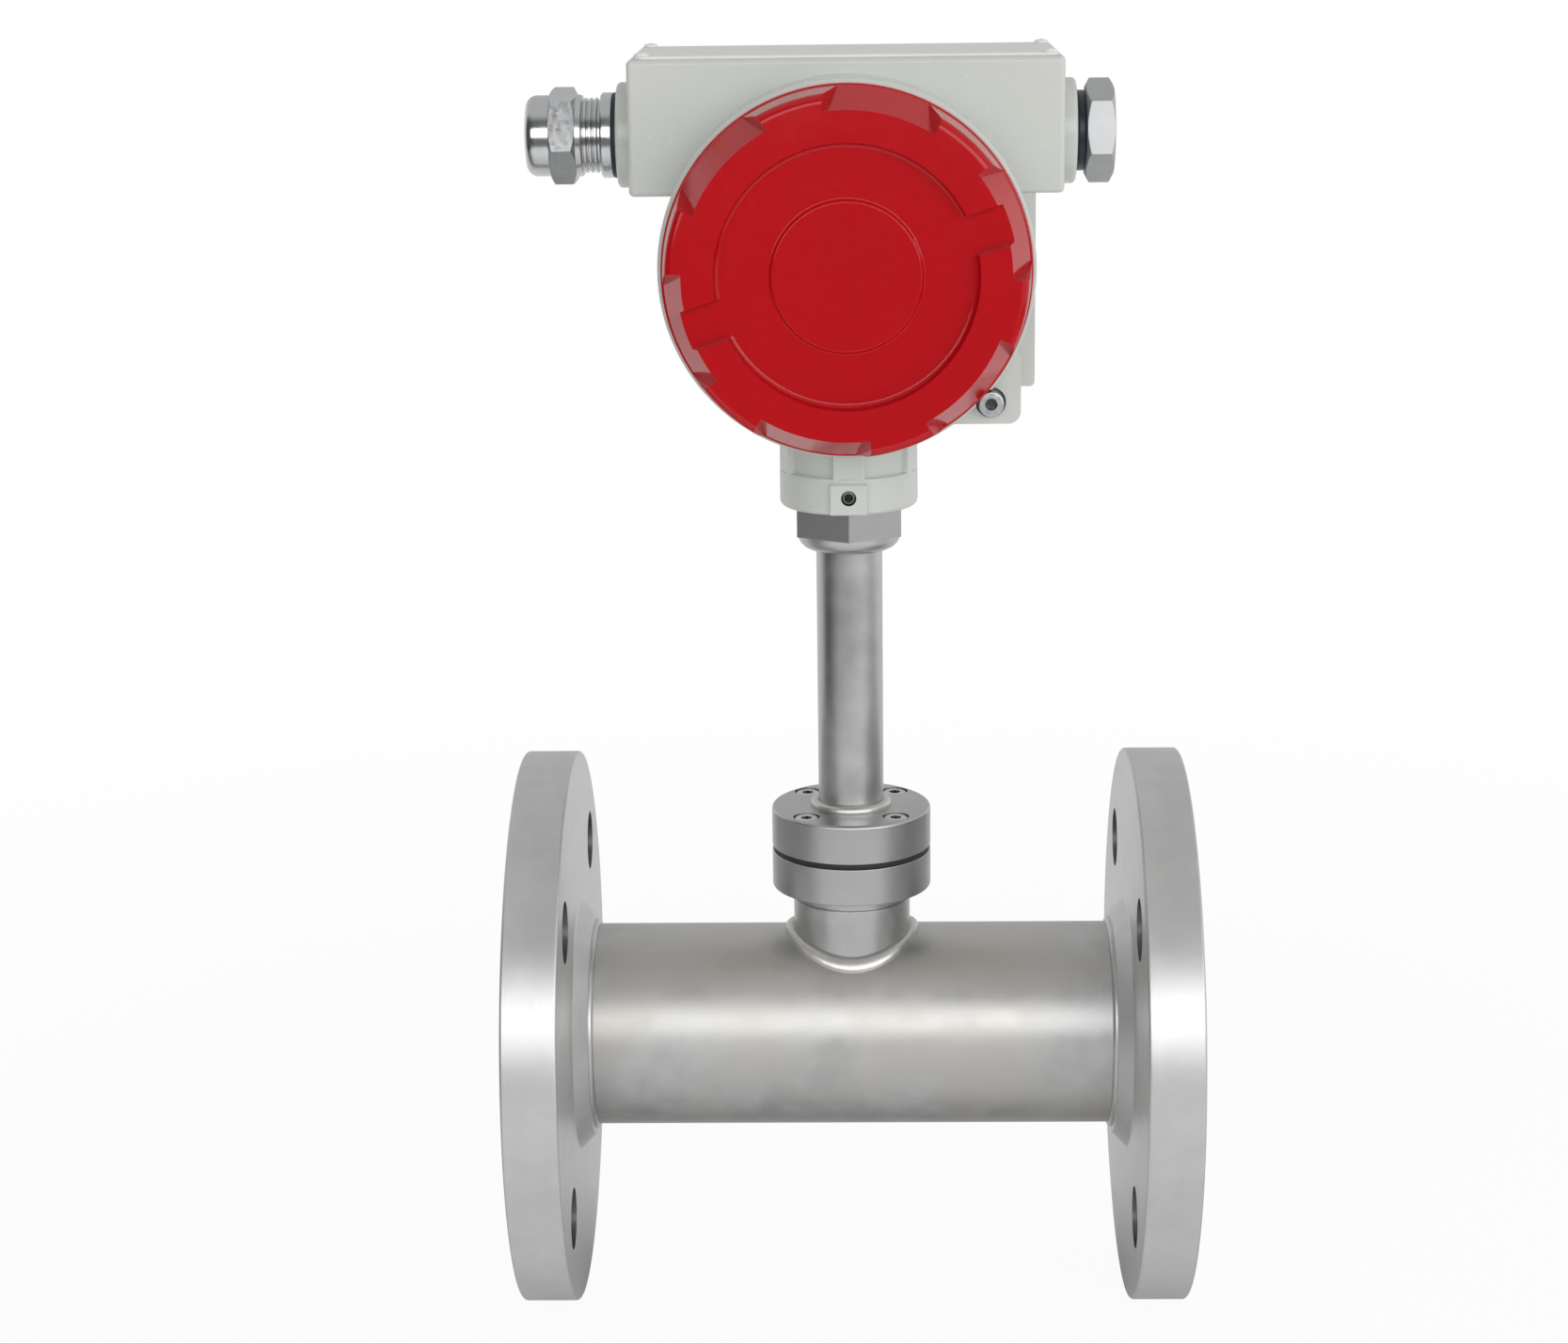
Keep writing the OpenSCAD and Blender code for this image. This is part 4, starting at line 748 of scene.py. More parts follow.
def piece(name, bm, finish, body, node, edge=0.0, sharp=35):
    """Makes a finished piece that rides on a body and stands for a node."""
    data = mesh_of(bm, name)
    made = in_scene(data, name)
    coat(data, finish)
    data.polygons.foreach_set("use_smooth", [True] * len(data.polygons))
    if edge:
        bevel = made.modifiers.new("edges", "BEVEL")
        bevel.width = edge
        bevel.segments = BEVEL_STEPS
        bevel.limit_method = "ANGLE"
        bevel.angle_limit = math.radians(sharp)
        bevel.use_clamp_overlap = True
        bevel.miter_outer = "MITER_ARC"
    else:
        data.set_sharp_from_angle(angle=math.radians(sharp))
    normals = made.modifiers.new("normals", "WEIGHTED_NORMAL")
    normals.keep_sharp = True
    normals.weight = 100
    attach(made, body)
    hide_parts(node)


def dress(finish, *nodes):
    """Gives a finish to carried-over nodes."""
    for name in nodes:
        coat(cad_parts[name].data, finish)


# Operators, one for each piece or group of like pieces

class METER_OT_pipe(bpy.types.Operator):
    """Builds the flow pipe"""

    bl_idname = "meter.pipe"
    bl_label = "Flow pipe"

    CHAMFER = 0.4
    SENSOR_GAP = 0.4 * MM

    def execute(self, context):
        bore = PIPE_R - settings().spool.pipe_wall
        tube = ring(bore, PIPE_R, 0, PIPE_HIGH.x - PIPE_LOW.x, 160, self.CHAMFER, self.CHAMFER,
                    self.CHAMFER)
        low, high, _ = span("sensor_body")
        hole = rod((high.x - low.x) / 2 + self.SENSOR_GAP, 0, PIPE_R + OVERRUN, 64)
        tube = carved(placed(tube, at(PIPE_LOW.x, 0, 0, 90, "Y")), placed(hole, at_stem()))
        piece("pipe_tube", tube, "pipe", "spool", "flow_pipe", sharp=30)
        return {"FINISHED"}


class METER_OT_flanges(bpy.types.Operator):
    """Builds the two pipe flanges and their welds"""

    bl_idname = "meter.flanges"
    bl_label = "Pipe flanges"

    PIPE_GAP, HUB_TIP, BEAD_OUT = 0.35 * MM, 2.6 * MM, 0.2 * MM
    FILLET_IN, FILLET_OUT = 1.9 * MM, 0.3 * MM
    FILLET_LOW, FILLET_TOP = 2.7 * MM, 5 * MM

    def flange(self):
        """A flange from its sealing face up, with its bolt holes."""
        sizes = settings().spool
        bore = PIPE_R + self.PIPE_GAP
        back = sizes.raised_height + sizes.plate_thick
        body = lathe([
            (bore, 0, 0.5 * MM), (sizes.raised_r, 0, 0.3 * MM),
            (sizes.raised_r, sizes.raised_height, 0.4 * MM),
            (FLANGE_R, sizes.raised_height, sizes.flange_round),
            (FLANGE_R, back, sizes.flange_round), (sizes.hub_r, back, 1.2 * MM),
            (bore + self.HUB_TIP, FLANGE_REACH, 0.5 * MM), (bore, FLANGE_REACH)], 192)
        return carved(body, copies(lambda: rod(sizes.hole_r, -OVERRUN, FLANGE_REACH),
                                   spots(4, sizes.bolt_circle_r)))

    def welds(self):
        """The beads behind a flange and inside it."""
        outer = placed(bead(PIPE_R + self.BEAD_OUT, 0.7, 60, 3.0), at(0, 0, FLANGE_REACH))
        fillet_r = PIPE_R + self.FILLET_OUT
        inner = lathe([(PIPE_R - self.FILLET_IN, self.FILLET_TOP), (fillet_r, self.FILLET_LOW),
                       (fillet_r, self.FILLET_TOP)])
        return joined(outer, inner)

    def execute(self, context):
        inlet = at(INLET_LOW.x, 0, 0, 90, "Y")
        outlet = at(OUTLET_END, 0, 0, -90, "Y")
        piece("inlet_flange_turned", placed(self.flange(), inlet), "flange", "spool",
              "inlet_flange", edge=0.5 * MM)
        piece("outlet_flange_turned", placed(self.flange(), outlet), "flange", "spool",
              "outlet_flange", edge=0.5 * MM)
        piece("flange_weld_beads", copies(self.welds, (inlet, outlet)), "branch", "spool",
              "flange_welds")
        return {"FINISHED"}


class METER_OT_branch(bpy.types.Operator):
    """Builds the branch and the saddle weld round its foot"""

    bl_idname = "meter.branch"
    bl_label = "Branch"

    WALL, STEP, STEP_HEIGHT = 5.1 * MM, 0.9 * MM, 3.8 * MM
    PIPE_GAP, CUT_REACH = 0.05 * MM, 200 * MM
    BEAD_OUT, BEAD_LIFT = 0.6 * MM, 0.3 * MM

    def execute(self, context):
        low, high, _ = span("branch_stub")
        outer = (high.x - low.x) / 2
        inner, neck_r = outer - self.WALL, outer - self.STEP
        step_z = high.z - self.STEP_HEIGHT
        body = lathe([(inner, 0), (outer, 0), (outer, step_z, 0.3 * MM),
                      (neck_r, step_z, 0.2 * MM), (neck_r, high.z), (inner, high.z)])
        cut = rod(PIPE_R + self.PIPE_GAP, -self.CUT_REACH, self.CUT_REACH, 160)
        cut = placed(cut, at(0, 0, 0, 90, "Y"))
        piece("branch_tube", carved(placed(body, at_stem()), cut), "branch", "spool",
              "branch_stub", sharp=30)
        saddle = bead(outer + self.BEAD_OUT, 1.1, 40, 7.0)
        for vert in saddle.verts:
            vert.co.z += math.sqrt(PIPE_R ** 2 - vert.co.y ** 2) + self.BEAD_LIFT
        piece("branch_weld_bead", placed(saddle, at_stem()), "weld", "spool", "branch_weld")
        return {"FINISHED"}


class METER_OT_sensor_flanges(bpy.types.Operator):
    """Builds the two sensor flanges, the gasket and the socket screws"""

    bl_idname = "meter.sensor_flanges"
    bl_label = "Sensor flanges"

    SEAT_DROP, WELL_R = 4.3 * MM, 3.9 * MM
    SOCKET_DEPTH, SHANK = 2.2 * MM, 15.9 * MM

    def execute(self, context):
        low, high, _ = span("lower_sensor_flange")
        outer = (high.x - low.x) / 2
        lower = ring(INSERT_BORE_R, outer, low.z, high.z, 160, 0.5, 0.25)
        piece("lower_flange_turned", placed(lower, at_stem()), "turned", "spool",
              "lower_sensor_flange")
        low, high, _ = span("sensor_gasket")
        sheet = ring(INSERT_BORE_R, (high.x - low.x) / 2, low.z, high.z, 128, 0.3, 0.3)
        piece("gasket_ring", placed(sheet, at_stem()), "rubber", "spool", "sensor_gasket")
        low, high, _ = span("upper_sensor_flange")
        upper = ring(LEAD_BORE_R, outer, low.z, high.z, 160, 0.25, 1.1)
        seat = high.z - self.SEAT_DROP
        wells = copies(lambda: rod(self.WELL_R, seat, high.z + OVERRUN), spots(4, SCREW_CIRCLE))
        piece("upper_flange_turned", placed(carved(upper, wells), at_stem()), "turned", "spool",
              "upper_sensor_flange", edge=0.3 * MM)
        screws = copies(lambda: socket_screw(self.SOCKET_DEPTH, self.SHANK),
                        [at_stem(seat) @ spot for spot in spots(4, SCREW_CIRCLE)])
        piece("flange_socket_screws", screws, "screw", "spool", "sensor_flange_screws")
        return {"FINISHED"}


class METER_OT_stem(bpy.types.Operator):
    """Builds the stem, the weld at its foot and the hexagon under the housing"""

    bl_idname = "meter.stem"
    bl_label = "Stem and adapter"

    WALL, BEAD_OUT, BEAD_LIFT = 2 * MM, 0.9 * MM, 0.6 * MM
    FLATS, HEX_LOW, HEX_TOP, HEX_TURN = 30 * MM, 4.7 * MM, 12.8 * MM, 30
    SPIGOT_R, SPIGOT_SINK = 12 * MM, 2 * MM

    def execute(self, context):
        tube = ring(STEM_R - self.WALL, STEM_R, STEM_LOW.z, STEM_HIGH.z, 96)
        piece("stem_pipe", placed(tube, at_stem()), "stem", "spool", "stem_tube")
        weld = bead(STEM_R + self.BEAD_OUT, 0.8, 30, 11.0)
        piece("stem_weld_bead", placed(weld, at_stem(STEM_LOW.z + self.BEAD_LIFT)), "weld",
              "spool", "stem_weld")
        low, high, _ = span("hex_adapter")
        hex_low, hex_top = low.z + self.HEX_LOW, low.z + self.HEX_TOP
        foot = ring(0, self.FLATS / 2, low.z, hex_low + OVERRUN, 128, foot=4.4)
        nut = carved(prism(self.FLATS, hex_low, hex_top, self.HEX_TURN), foot, how="UNION")
        nut = carved(nut, rod(LEAD_BORE_R, low.z - OVERRUN, hex_top + OVERRUN))
        spigot = ring(LEAD_BORE_R, self.SPIGOT_R, hex_top - self.SPIGOT_SINK, high.z, 96, top=0.5)
        nut = carved(nut, spigot, how="UNION")
        piece("neck_hexagon", placed(nut, at_stem()), "adapter", "spool", "hex_adapter",
              edge=0.35 * MM)
        return {"FINISHED"}


class METER_OT_housing(bpy.types.Operator):
    """Builds the housing casting with its bosses, neck, compartments and holes"""

    bl_idname = "meter.housing"
    bl_label = "Housing"

    PAD_INSET, PAD_LAP = 1.2 * MM, 4 * MM
    FRONT_FLOOR, REAR_FLOOR = -11 * MM, 16 * MM
    ENTRY_R, ENTRY_FROM, ENTRY_TO = 10 * MM, 40 * MM, 70 * MM
    NECK_BORE_R, NECK_BORE_DEPTH = 12.05 * MM, 18.2 * MM
    LEAD_R, LEAD_LOW, LEAD_DROP = 6 * MM, 15 * MM, 29 * MM
    CLAMP_R, CLAMP_Z, CLAMP_FROM, CLAMP_TO = 2.1 * MM, 5.35 * MM, 8 * MM, 22 * MM
    LOCK_SEAT_R = 4.15 * MM

    def casting(self, sizes, low):
        """The outside of the casting, whose neck starts at a height."""
        box_low = HOUSING_HIGH.z - sizes.box_height
        drum = ring(0, sizes.drum_r, -sizes.drum_half, sizes.drum_half, 192, 0.9, 0.9)
        box = slab((STEM_X - sizes.box_half_width, -sizes.box_half_depth, box_low),
                   (STEM_X + sizes.box_half_width, sizes.box_half_depth, HOUSING_HIGH.z),
                   "XYZ", sizes.corner, 4)
        pad = slab((STEM_X, -sizes.box_half_depth + self.PAD_INSET, DRUM_Z - sizes.pad_drop),
                   (STEM_X + sizes.pad_reach, sizes.box_half_depth - self.PAD_INSET,
                    box_low + self.PAD_LAP), "Y", sizes.corner)
        lug = slab(point(20, -40.8, -43, DRUM_Z), point(47.5, 40.8, -22, DRUM_Z), "Y", 3.4 * MM)
        neck = lathe(mm((0, 0), (19.9, 0, 1.6), (19.9, 10.7, 0.6), (18.3, 10.7, 0.3), (18.3, 34),
                        (0, 34), up=low))
        clamp = slab(point(-5.2, -20.8, 0.3, low), point(5.2, -10, 9.3, low), "X", 0.7 * MM, 3)
        rib_low = (15 * MM, -4.6 * MM, low + 6 * MM)
        rib_high = (19.5 * MM, 4.6 * MM, low + 31 * MM)
        ribs = [placed(slab(rib_low, rib_high, "Z", 0.6 * MM, 3),
                       at(STEM_X, 0, 0, 72 * index - 90)) for index in range(5)]
        bosses = [placed(ring(0, 14.7 * MM, -4 * MM, 4.5 * MM, 96, top=1.3),
                         at(STEM_X + side * sizes.box_half_width, 0, ENTRY_Z, 90 * side, "Y"))
                  for side in (-1, 1)]
        return carved(placed(drum, out_of_drum()), box, pad, lug, placed(neck, at_stem()), clamp,
                      *ribs, *bosses, how="UNION")

    def hollow(self, half, floor):
        """The turned inside of one compartment, from its floor to past its mouth."""
        return lathe([(0, floor), (40.98 * MM, floor, 2 * MM)] + mm(
            (40.98, -13.8), (43.58, -13.8), (43.58, -2.6), (46.14, -2.6), (46.14, 2), (0, 2),
            up=half))

    def execute(self, context):
        sizes = settings().housing
        half, low, top = sizes.drum_half, HOUSING_LOW.z, HOUSING_HIGH.z
        front = placed(self.hollow(half, self.FRONT_FLOOR), out_of_drum())
        rear = placed(self.hollow(half, self.REAR_FLOOR), out_of_drum(rear=True))
        chamber = slab(point(-51.8, -22, -32.5, top), point(51.8, 10.8, -4, top), "", 0)
        entries = copies(lambda: rod(self.ENTRY_R, self.ENTRY_FROM, self.ENTRY_TO, 64),
                         [at(STEM_X, 0, ENTRY_Z, turn, "Y") for turn in (90, -90)])
        bore = placed(rod(self.NECK_BORE_R, low - OVERRUN, low + self.NECK_BORE_DEPTH, 96), at_stem())
        lead = placed(rod(self.LEAD_R, low + self.LEAD_LOW, DRUM_Z - self.LEAD_DROP), at_stem())
        clamp = placed(rod(self.CLAMP_R, self.CLAMP_FROM, self.CLAMP_TO),
                       at(STEM_X, 0, low + self.CLAMP_Z, 90, "X"))
        seats = [placed(rod(self.LOCK_SEAT_R, half - LOCK_SINK, half + 2 * OVERRUN), lock_place(side))
                 for side in (False, True)]
        body = carved(self.casting(sizes, low), front, rear, chamber, entries, bore, lead, clamp,
                      *seats)
        piece("housing_casting", body, "housing", "housing", "housing_body", sharp=32)
        return {"FINISHED"}


class METER_OT_housing_screws(bpy.types.Operator):
    """Builds the neck's set screw and the two cover lock screws"""

    bl_idname = "meter.housing_screws"
    bl_label = "Housing screws"

    SET_SOCKET, SET_SOCKET_DEPTH = 2.2 * MM, 1.8 * MM
    LOCK_SOCKET_DEPTH, LOCK_SHANK = 3.2 * MM, 11.8 * MM

    def execute(self, context):
        tip, end = -SET_SCREW_HIGH.y, -SET_SCREW_LOW.y
        body = lathe(mm((0, 0), (1.25, 0), (1.25, 1), (1.95, 1.4), up=tip)
                     + mm((1.95, 0, 0.35), (0, 0), up=end), 48)
        body = carved(body, prism(self.SET_SOCKET, end - self.SET_SOCKET_DEPTH, end + OVERRUN))
        piece("neck_screw", placed(body, at(SET_SCREW_MID.x, 0, SET_SCREW_MID.z, 90, "X")),
              "dark_screw", "housing", "neck_set_screw")
        seat = settings().housing.drum_half - LOCK_SINK
        screws = copies(lambda: socket_screw(self.LOCK_SOCKET_DEPTH, self.LOCK_SHANK),
                        [lock_place(rear, seat) for rear in (False, True)])
        piece("cover_locks", screws, "lock_screw", "housing", "cover_lock_screws")
        return {"FINISHED"}


class METER_OT_nameplate(bpy.types.Operator):
    """Builds the bare nameplate and its rivets"""

    bl_idname = "meter.nameplate"
    bl_label = "Nameplate"

    CORNER, EDGE = 3 * MM, 0.15 * MM
    RIVET_R, RIVET_GAP = 2.2 * MM, 0.02 * MM

    def execute(self, context):
        low, high, _ = span("nameplate")
        piece("bare_nameplate", slab(low, high, "Z", self.CORNER, 8), "plate", "housing",
              "nameplate", edge=self.EDGE)
        top = high.z + self.RIVET_GAP
        low, high, _ = span("nameplate_rivets")
        places = [at(x, y, top) for x in (low.x + self.RIVET_R, high.x - self.RIVET_R)
                  for y in (low.y + self.RIVET_R, high.y - self.RIVET_R)]
        heads = copies(lambda: lathe(mm((0, -0.7), (1.1, -0.7), (1.1, 0), (2.2, 0, 0.1),
                                        (1.76, 0.7, 0.5), (0, 1.1)), 40), places)
        piece("plate_rivets", heads, "plate", "housing", "nameplate_rivets")
        return {"FINISHED"}


def cover_blank():
    """A cover's outside from the drum's face up: lip, gripping lugs and notches."""
    sizes = settings().cover
    lip = 0.2 * MM
    lip_top = lip + sizes.lip_thick
    lug_r = COVER_R - 0.5 * MM
    body = lathe([
        (0, lip), (COVER_R, lip, 0.6 * MM), (COVER_R, lip_top, 0.7 * MM),
        (lug_r - 0.7 * MM, lip_top), (lug_r - 0.7 * MM, lip_top + 0.7 * MM),
        (lug_r, lip_top + 1.1 * MM, 0.3 * MM), (lug_r - 1.2 * MM, sizes.height, sizes.lug_round),
        (0, sizes.height)], 192)
    for index in range(sizes.notch_count):
        notch = lathe([(sizes.face_r, sizes.height), (COVER_R - 0.4 * MM, lip_top),
                       (COVER_R + 4 * MM, lip_top), (COVER_R + 4 * MM, sizes.height + OVERRUN),
                       (sizes.face_r, sizes.height + OVERRUN)], 12, sizes.notch_low)
        for vert in notch.verts:
            climb = min(max((vert.co.z - lip_top) / (sizes.height - lip_top), 0), 1.1)
            turn = math.atan2(vert.co.y, vert.co.x) - sizes.notch_low / 2
            turn *= 1 + climb * (sizes.notch_high / sizes.notch_low - 1)
            radius = math.hypot(vert.co.x, vert.co.y)
            vert.co.x = radius * math.cos(turn)
            vert.co.y = radius * math.sin(turn)
        spin = sizes.notch_turn + TURN / sizes.notch_count * index
        body = carved(body, placed(notch, Matrix.Rotation(spin, 4, "Z")))
    return body


def cover_piece(side, body):
    """Makes a cover from its body and the threaded skirt under it."""
    skirt = lathe(mm((39.9, 1.2), (39.9, -13.4, 0.4), (42.7, -13.4),
                     *thread(-12.8, 5, 2, 43.5, 42.7, (0.3, 0.7, 1.2, 1.6)), (43.1, -2.6),
                     (43.1, 1.2)))
    place = out_of_drum(side == "rear") @ at(0, 0, settings().housing.drum_half)
    piece(f"{side}_cover_cast", placed(carved(body, skirt, how="UNION"), place), "cover",
          f"{side}_cover", f"{side}_cover", edge=settings().cover.edge, sharp=32)


class METER_OT_front_cover(bpy.types.Operator):
    """Builds the blind front cover"""

    bl_idname = "meter.front_cover"
    bl_label = "Front cover"

    CHANNEL_IN, CHANNEL_FLARE, SKIN = 1.6 * MM, 1.10, 5 * MM

    def execute(self, context):
        sizes = settings().cover
        top = sizes.height
        floor = top - sizes.centre_depth
        disc_top = floor + sizes.disc_height
        rim_r = sizes.centre_r + 0.5 * MM
        sunk = lathe([
            (0, disc_top), (sizes.disc_r, disc_top, 0.6 * MM),
            (sizes.disc_r + sizes.disc_height, floor, 0.6 * MM), (sizes.centre_r, floor, 1.4 * MM),
            (rim_r, top), (rim_r, top + 2 * MM), (0, top + 2 * MM)], 160)
        body = carved(cover_blank(), sunk)
        for side in (0, math.pi):
            channel = slab((sizes.centre_r - self.CHANNEL_IN, -sizes.channel / 2, floor),
                           (COVER_R + 2 * MM, sizes.channel / 2, top + OVERRUN), "", 0)
            for vert in channel.verts:
                if vert.co.z > top:
                    vert.co.y *= self.CHANNEL_FLARE
            body = carved(body, placed(channel, Matrix.Rotation(sizes.notch_turn + side, 4, "Z")))
        cover_piece("front", carved(
            body, ring(0, COVER_BORE_R, -OVERRUN, floor - self.SKIN, 128, top=1.5)))
        return {"FINISHED"}


class METER_OT_rear_cover(bpy.types.Operator):
    """Builds the rear cover with its window, gasket and ring"""

    bl_idname = "meter.rear_cover"
    bl_label = "Rear cover"

    SEAT_DROP, SEAT_HEIGHT, SEAT_WIDTH = 2.6 * MM, 9.6 * MM, 3.48 * MM
    FLARE_DEPTH, FLARE_OUT, FLARE_TOP = 0.6 * MM, 1.8 * MM, 1.2 * MM

    def execute(self, context):
        sizes = settings().cover
        top, window_r = sizes.height, sizes.window_r
        seat = top - self.SEAT_DROP
        seat_low = seat - self.SEAT_HEIGHT
        seat_r = window_r + self.SEAT_WIDTH
        flare_top = top + self.FLARE_TOP
        opening = lathe([(0, -OVERRUN), (COVER_BORE_R, -OVERRUN), (COVER_BORE_R, seat_low),
                         (seat_r, seat_low), (seat_r, seat), (window_r, seat, 0.3 * MM),
                         (window_r, top - self.FLARE_DEPTH, 0.6 * MM),
                         (window_r + self.FLARE_OUT, flare_top), (0, flare_top)], 160)
        cover_piece("rear", carved(cover_blank(), opening))
        low, high, _ = span("window_glass")
        glass = ring(0, (high.x - low.x) / 2, low.y, high.y, 128, 0.4, 0.4)
        piece("window_pane", placed(glass, at(STEM_X, 0, DRUM_Z, -90, "X")), "glass",
              "rear_cover", "window_glass")
        dress("rubber", "window_gasket", "rear_cover_o_ring", "front_cover_o_ring")
        dress("black_metal", "window_ring")
        return {"FINISHED"}


class METER_OT_gland(bpy.types.Operator):
    """Builds the cable gland"""

    bl_idname = "meter.gland"
    bl_label = "Cable gland"

    FLANGE_R, FLANGE_THICK, SOCKET_REACH = 11.9 * MM, 3.4 * MM, 11.6 * MM
    NUT_UP, NUT_REACH, NUT_BORE_R = 5.2 * MM, 15.9 * MM, 10.6 * MM
    HEX_UP, HEX_REACH, FLATS, HEX_TURN, CHAMFER = 1.6 * MM, 7.5 * MM, 24 * MM, 16.5, 1.1 * MM

    def execute(self, context):
        face = at(WASHER_HIGH.x, 0, ENTRY_Z, -90, "Y")
        thick = WASHER_HIGH.x - WASHER_LOW.x
        washer = ring(10.05 * MM, self.FLANGE_R, 0, thick, 96, 0.3, 0.3)
        piece("gland_gasket", placed(washer, face), "rubber", "housing", "gland_washer")
        flange_end = thick + self.FLANGE_THICK
        end = flange_end + self.SOCKET_REACH
        outline = mm((7.4, -11, 0.3), (9.6, -11), (9.92, -10.4)) + mm(
            (9.92, 0), (11.9, 0, 0.4), up=thick) + mm(
            (11.9, 0, 0.9), (9.85, 0), (9.85, 0.5),
            *thread(0.7, 7, 1.5, 10.45, 9.85, (0.3, 0.8, 1.1, 1.25)), (9.85, 11.6), (7.4, 11.6),
            up=flange_end)
        piece("gland_socket", placed(lathe(outline, 96), face), "nickel", "housing", "gland_body")
        start = flange_end + self.NUT_UP
        hex_start = start + self.HEX_UP
        nut = hexagon(self.FLATS, hex_start, hex_start + self.HEX_REACH, self.HEX_TURN,
                      self.FLANGE_R, self.CHAMFER)
        shell = lathe(mm((9.92, 0, 0.2), (11.2, 0, 0.3), (11.7, 2), (11.3, 8.5), (11.3, 15.9, 3),
                         (6.3, 15.9, 0.6), (6.3, 10.4, 0.4), (9.92, 10.4), up=start), 96)
        nut = carved(nut, rod(self.NUT_BORE_R, start - OVERRUN, start + self.NUT_REACH))
        nut = carved(nut, shell, how="UNION")
        piece("gland_cap", placed(nut, face), "nickel", "gland_nut", "gland_nut", edge=0.25 * MM,
              sharp=30)
        seal = lathe(mm((4.5, -6, 0.5), (7.35, -6, 0.5), (7.35, 0), (9.7, 0), (9.7, 2.6, 0.5),
                        (4.5, 2.6, 0.8), up=end), 64)
        piece("gland_seal_ring", placed(seal, face), "rubber", "housing", "gland_seal")
        dress("brass", "gland_slip_washer")
        return {"FINISHED"}


class METER_OT_plug(bpy.types.Operator):
    """Builds the blanking plug and its ring"""

    bl_idname = "meter.plug"
    bl_label = "Blanking plug"

    HEAD_GAP, FLATS, HEX_TURN = 0.03 * MM, 25.2 * MM, -7.7
    FACE_R, CHAMFER, RIM = 12.3 * MM, 1.2 * MM, 0.3 * MM

    def execute(self, context):
        face = at(PLUG_RING_LOW.x, 0, ENTRY_Z, 90, "Y")
        low, high, _ = span("blanking_plug")
        thick, tip, end = (place.x - PLUG_RING_LOW.x for place in (PLUG_RING_HIGH, low, high))
        seal = ring(10.2 * MM, 11.2 * MM, 0, thick, 96, 0.8, 0.8, 0.3)
        piece("plug_seal", placed(seal, face), "navy_rubber", "plug_seat", "plug_o_ring")
        head = hexagon(self.FLATS, thick + self.HEAD_GAP, end, self.HEX_TURN, self.FACE_R,
                       self.CHAMFER, self.RIM)
        shank = lathe(mm((0, 0), (9.4, 0), *thread(0.3, 6, 1.5, 9.92, 9.2, (0.3, 0.6, 1.0, 1.25)),
                         up=tip) + mm((9.6, 0)) + mm((9.6, 1), (0, 1), up=thick), 96)
        piece("plug_head", placed(carved(head, shank, how="UNION"), face), "satin_nickel",
              "blanking_plug", "blanking_plug", edge=0.3 * MM, sharp=30)
        return {"FINISHED"}


class METER_OT_inner_finishes(bpy.types.Operator):
    """Gives the carried-over inner pieces their finishes"""

    bl_idname = "meter.inner_finishes"
    bl_label = "Inner finishes"

    def execute(self, context):
        dress("probe", "sensor_body", "heated_probe", "reference_probe", "probe_guard")
        dress("rubber", "sensor_o_ring", "lead_feedthrough")
        dress("cable", "sensor_cable", "sensor_lead")
        dress("connector", "sensor_plug")
        dress("board", "terminal_board", "power_board", "display_board")
        dress("brass", "terminal_standoffs", "power_standoffs", "display_standoffs", "earth_screw")
        dress("screw", "terminal_board_screws", "terminal_screws", "bezel_screws")
        dress("terminal", "terminal_block")
        dress("component", "board_components", "key_switches")
        dress("display", "lcd_module")
        dress("bezel", "display_bezel")
        dress("key", "key_left", "key_middle", "key_right")
        return {"FINISHED"}


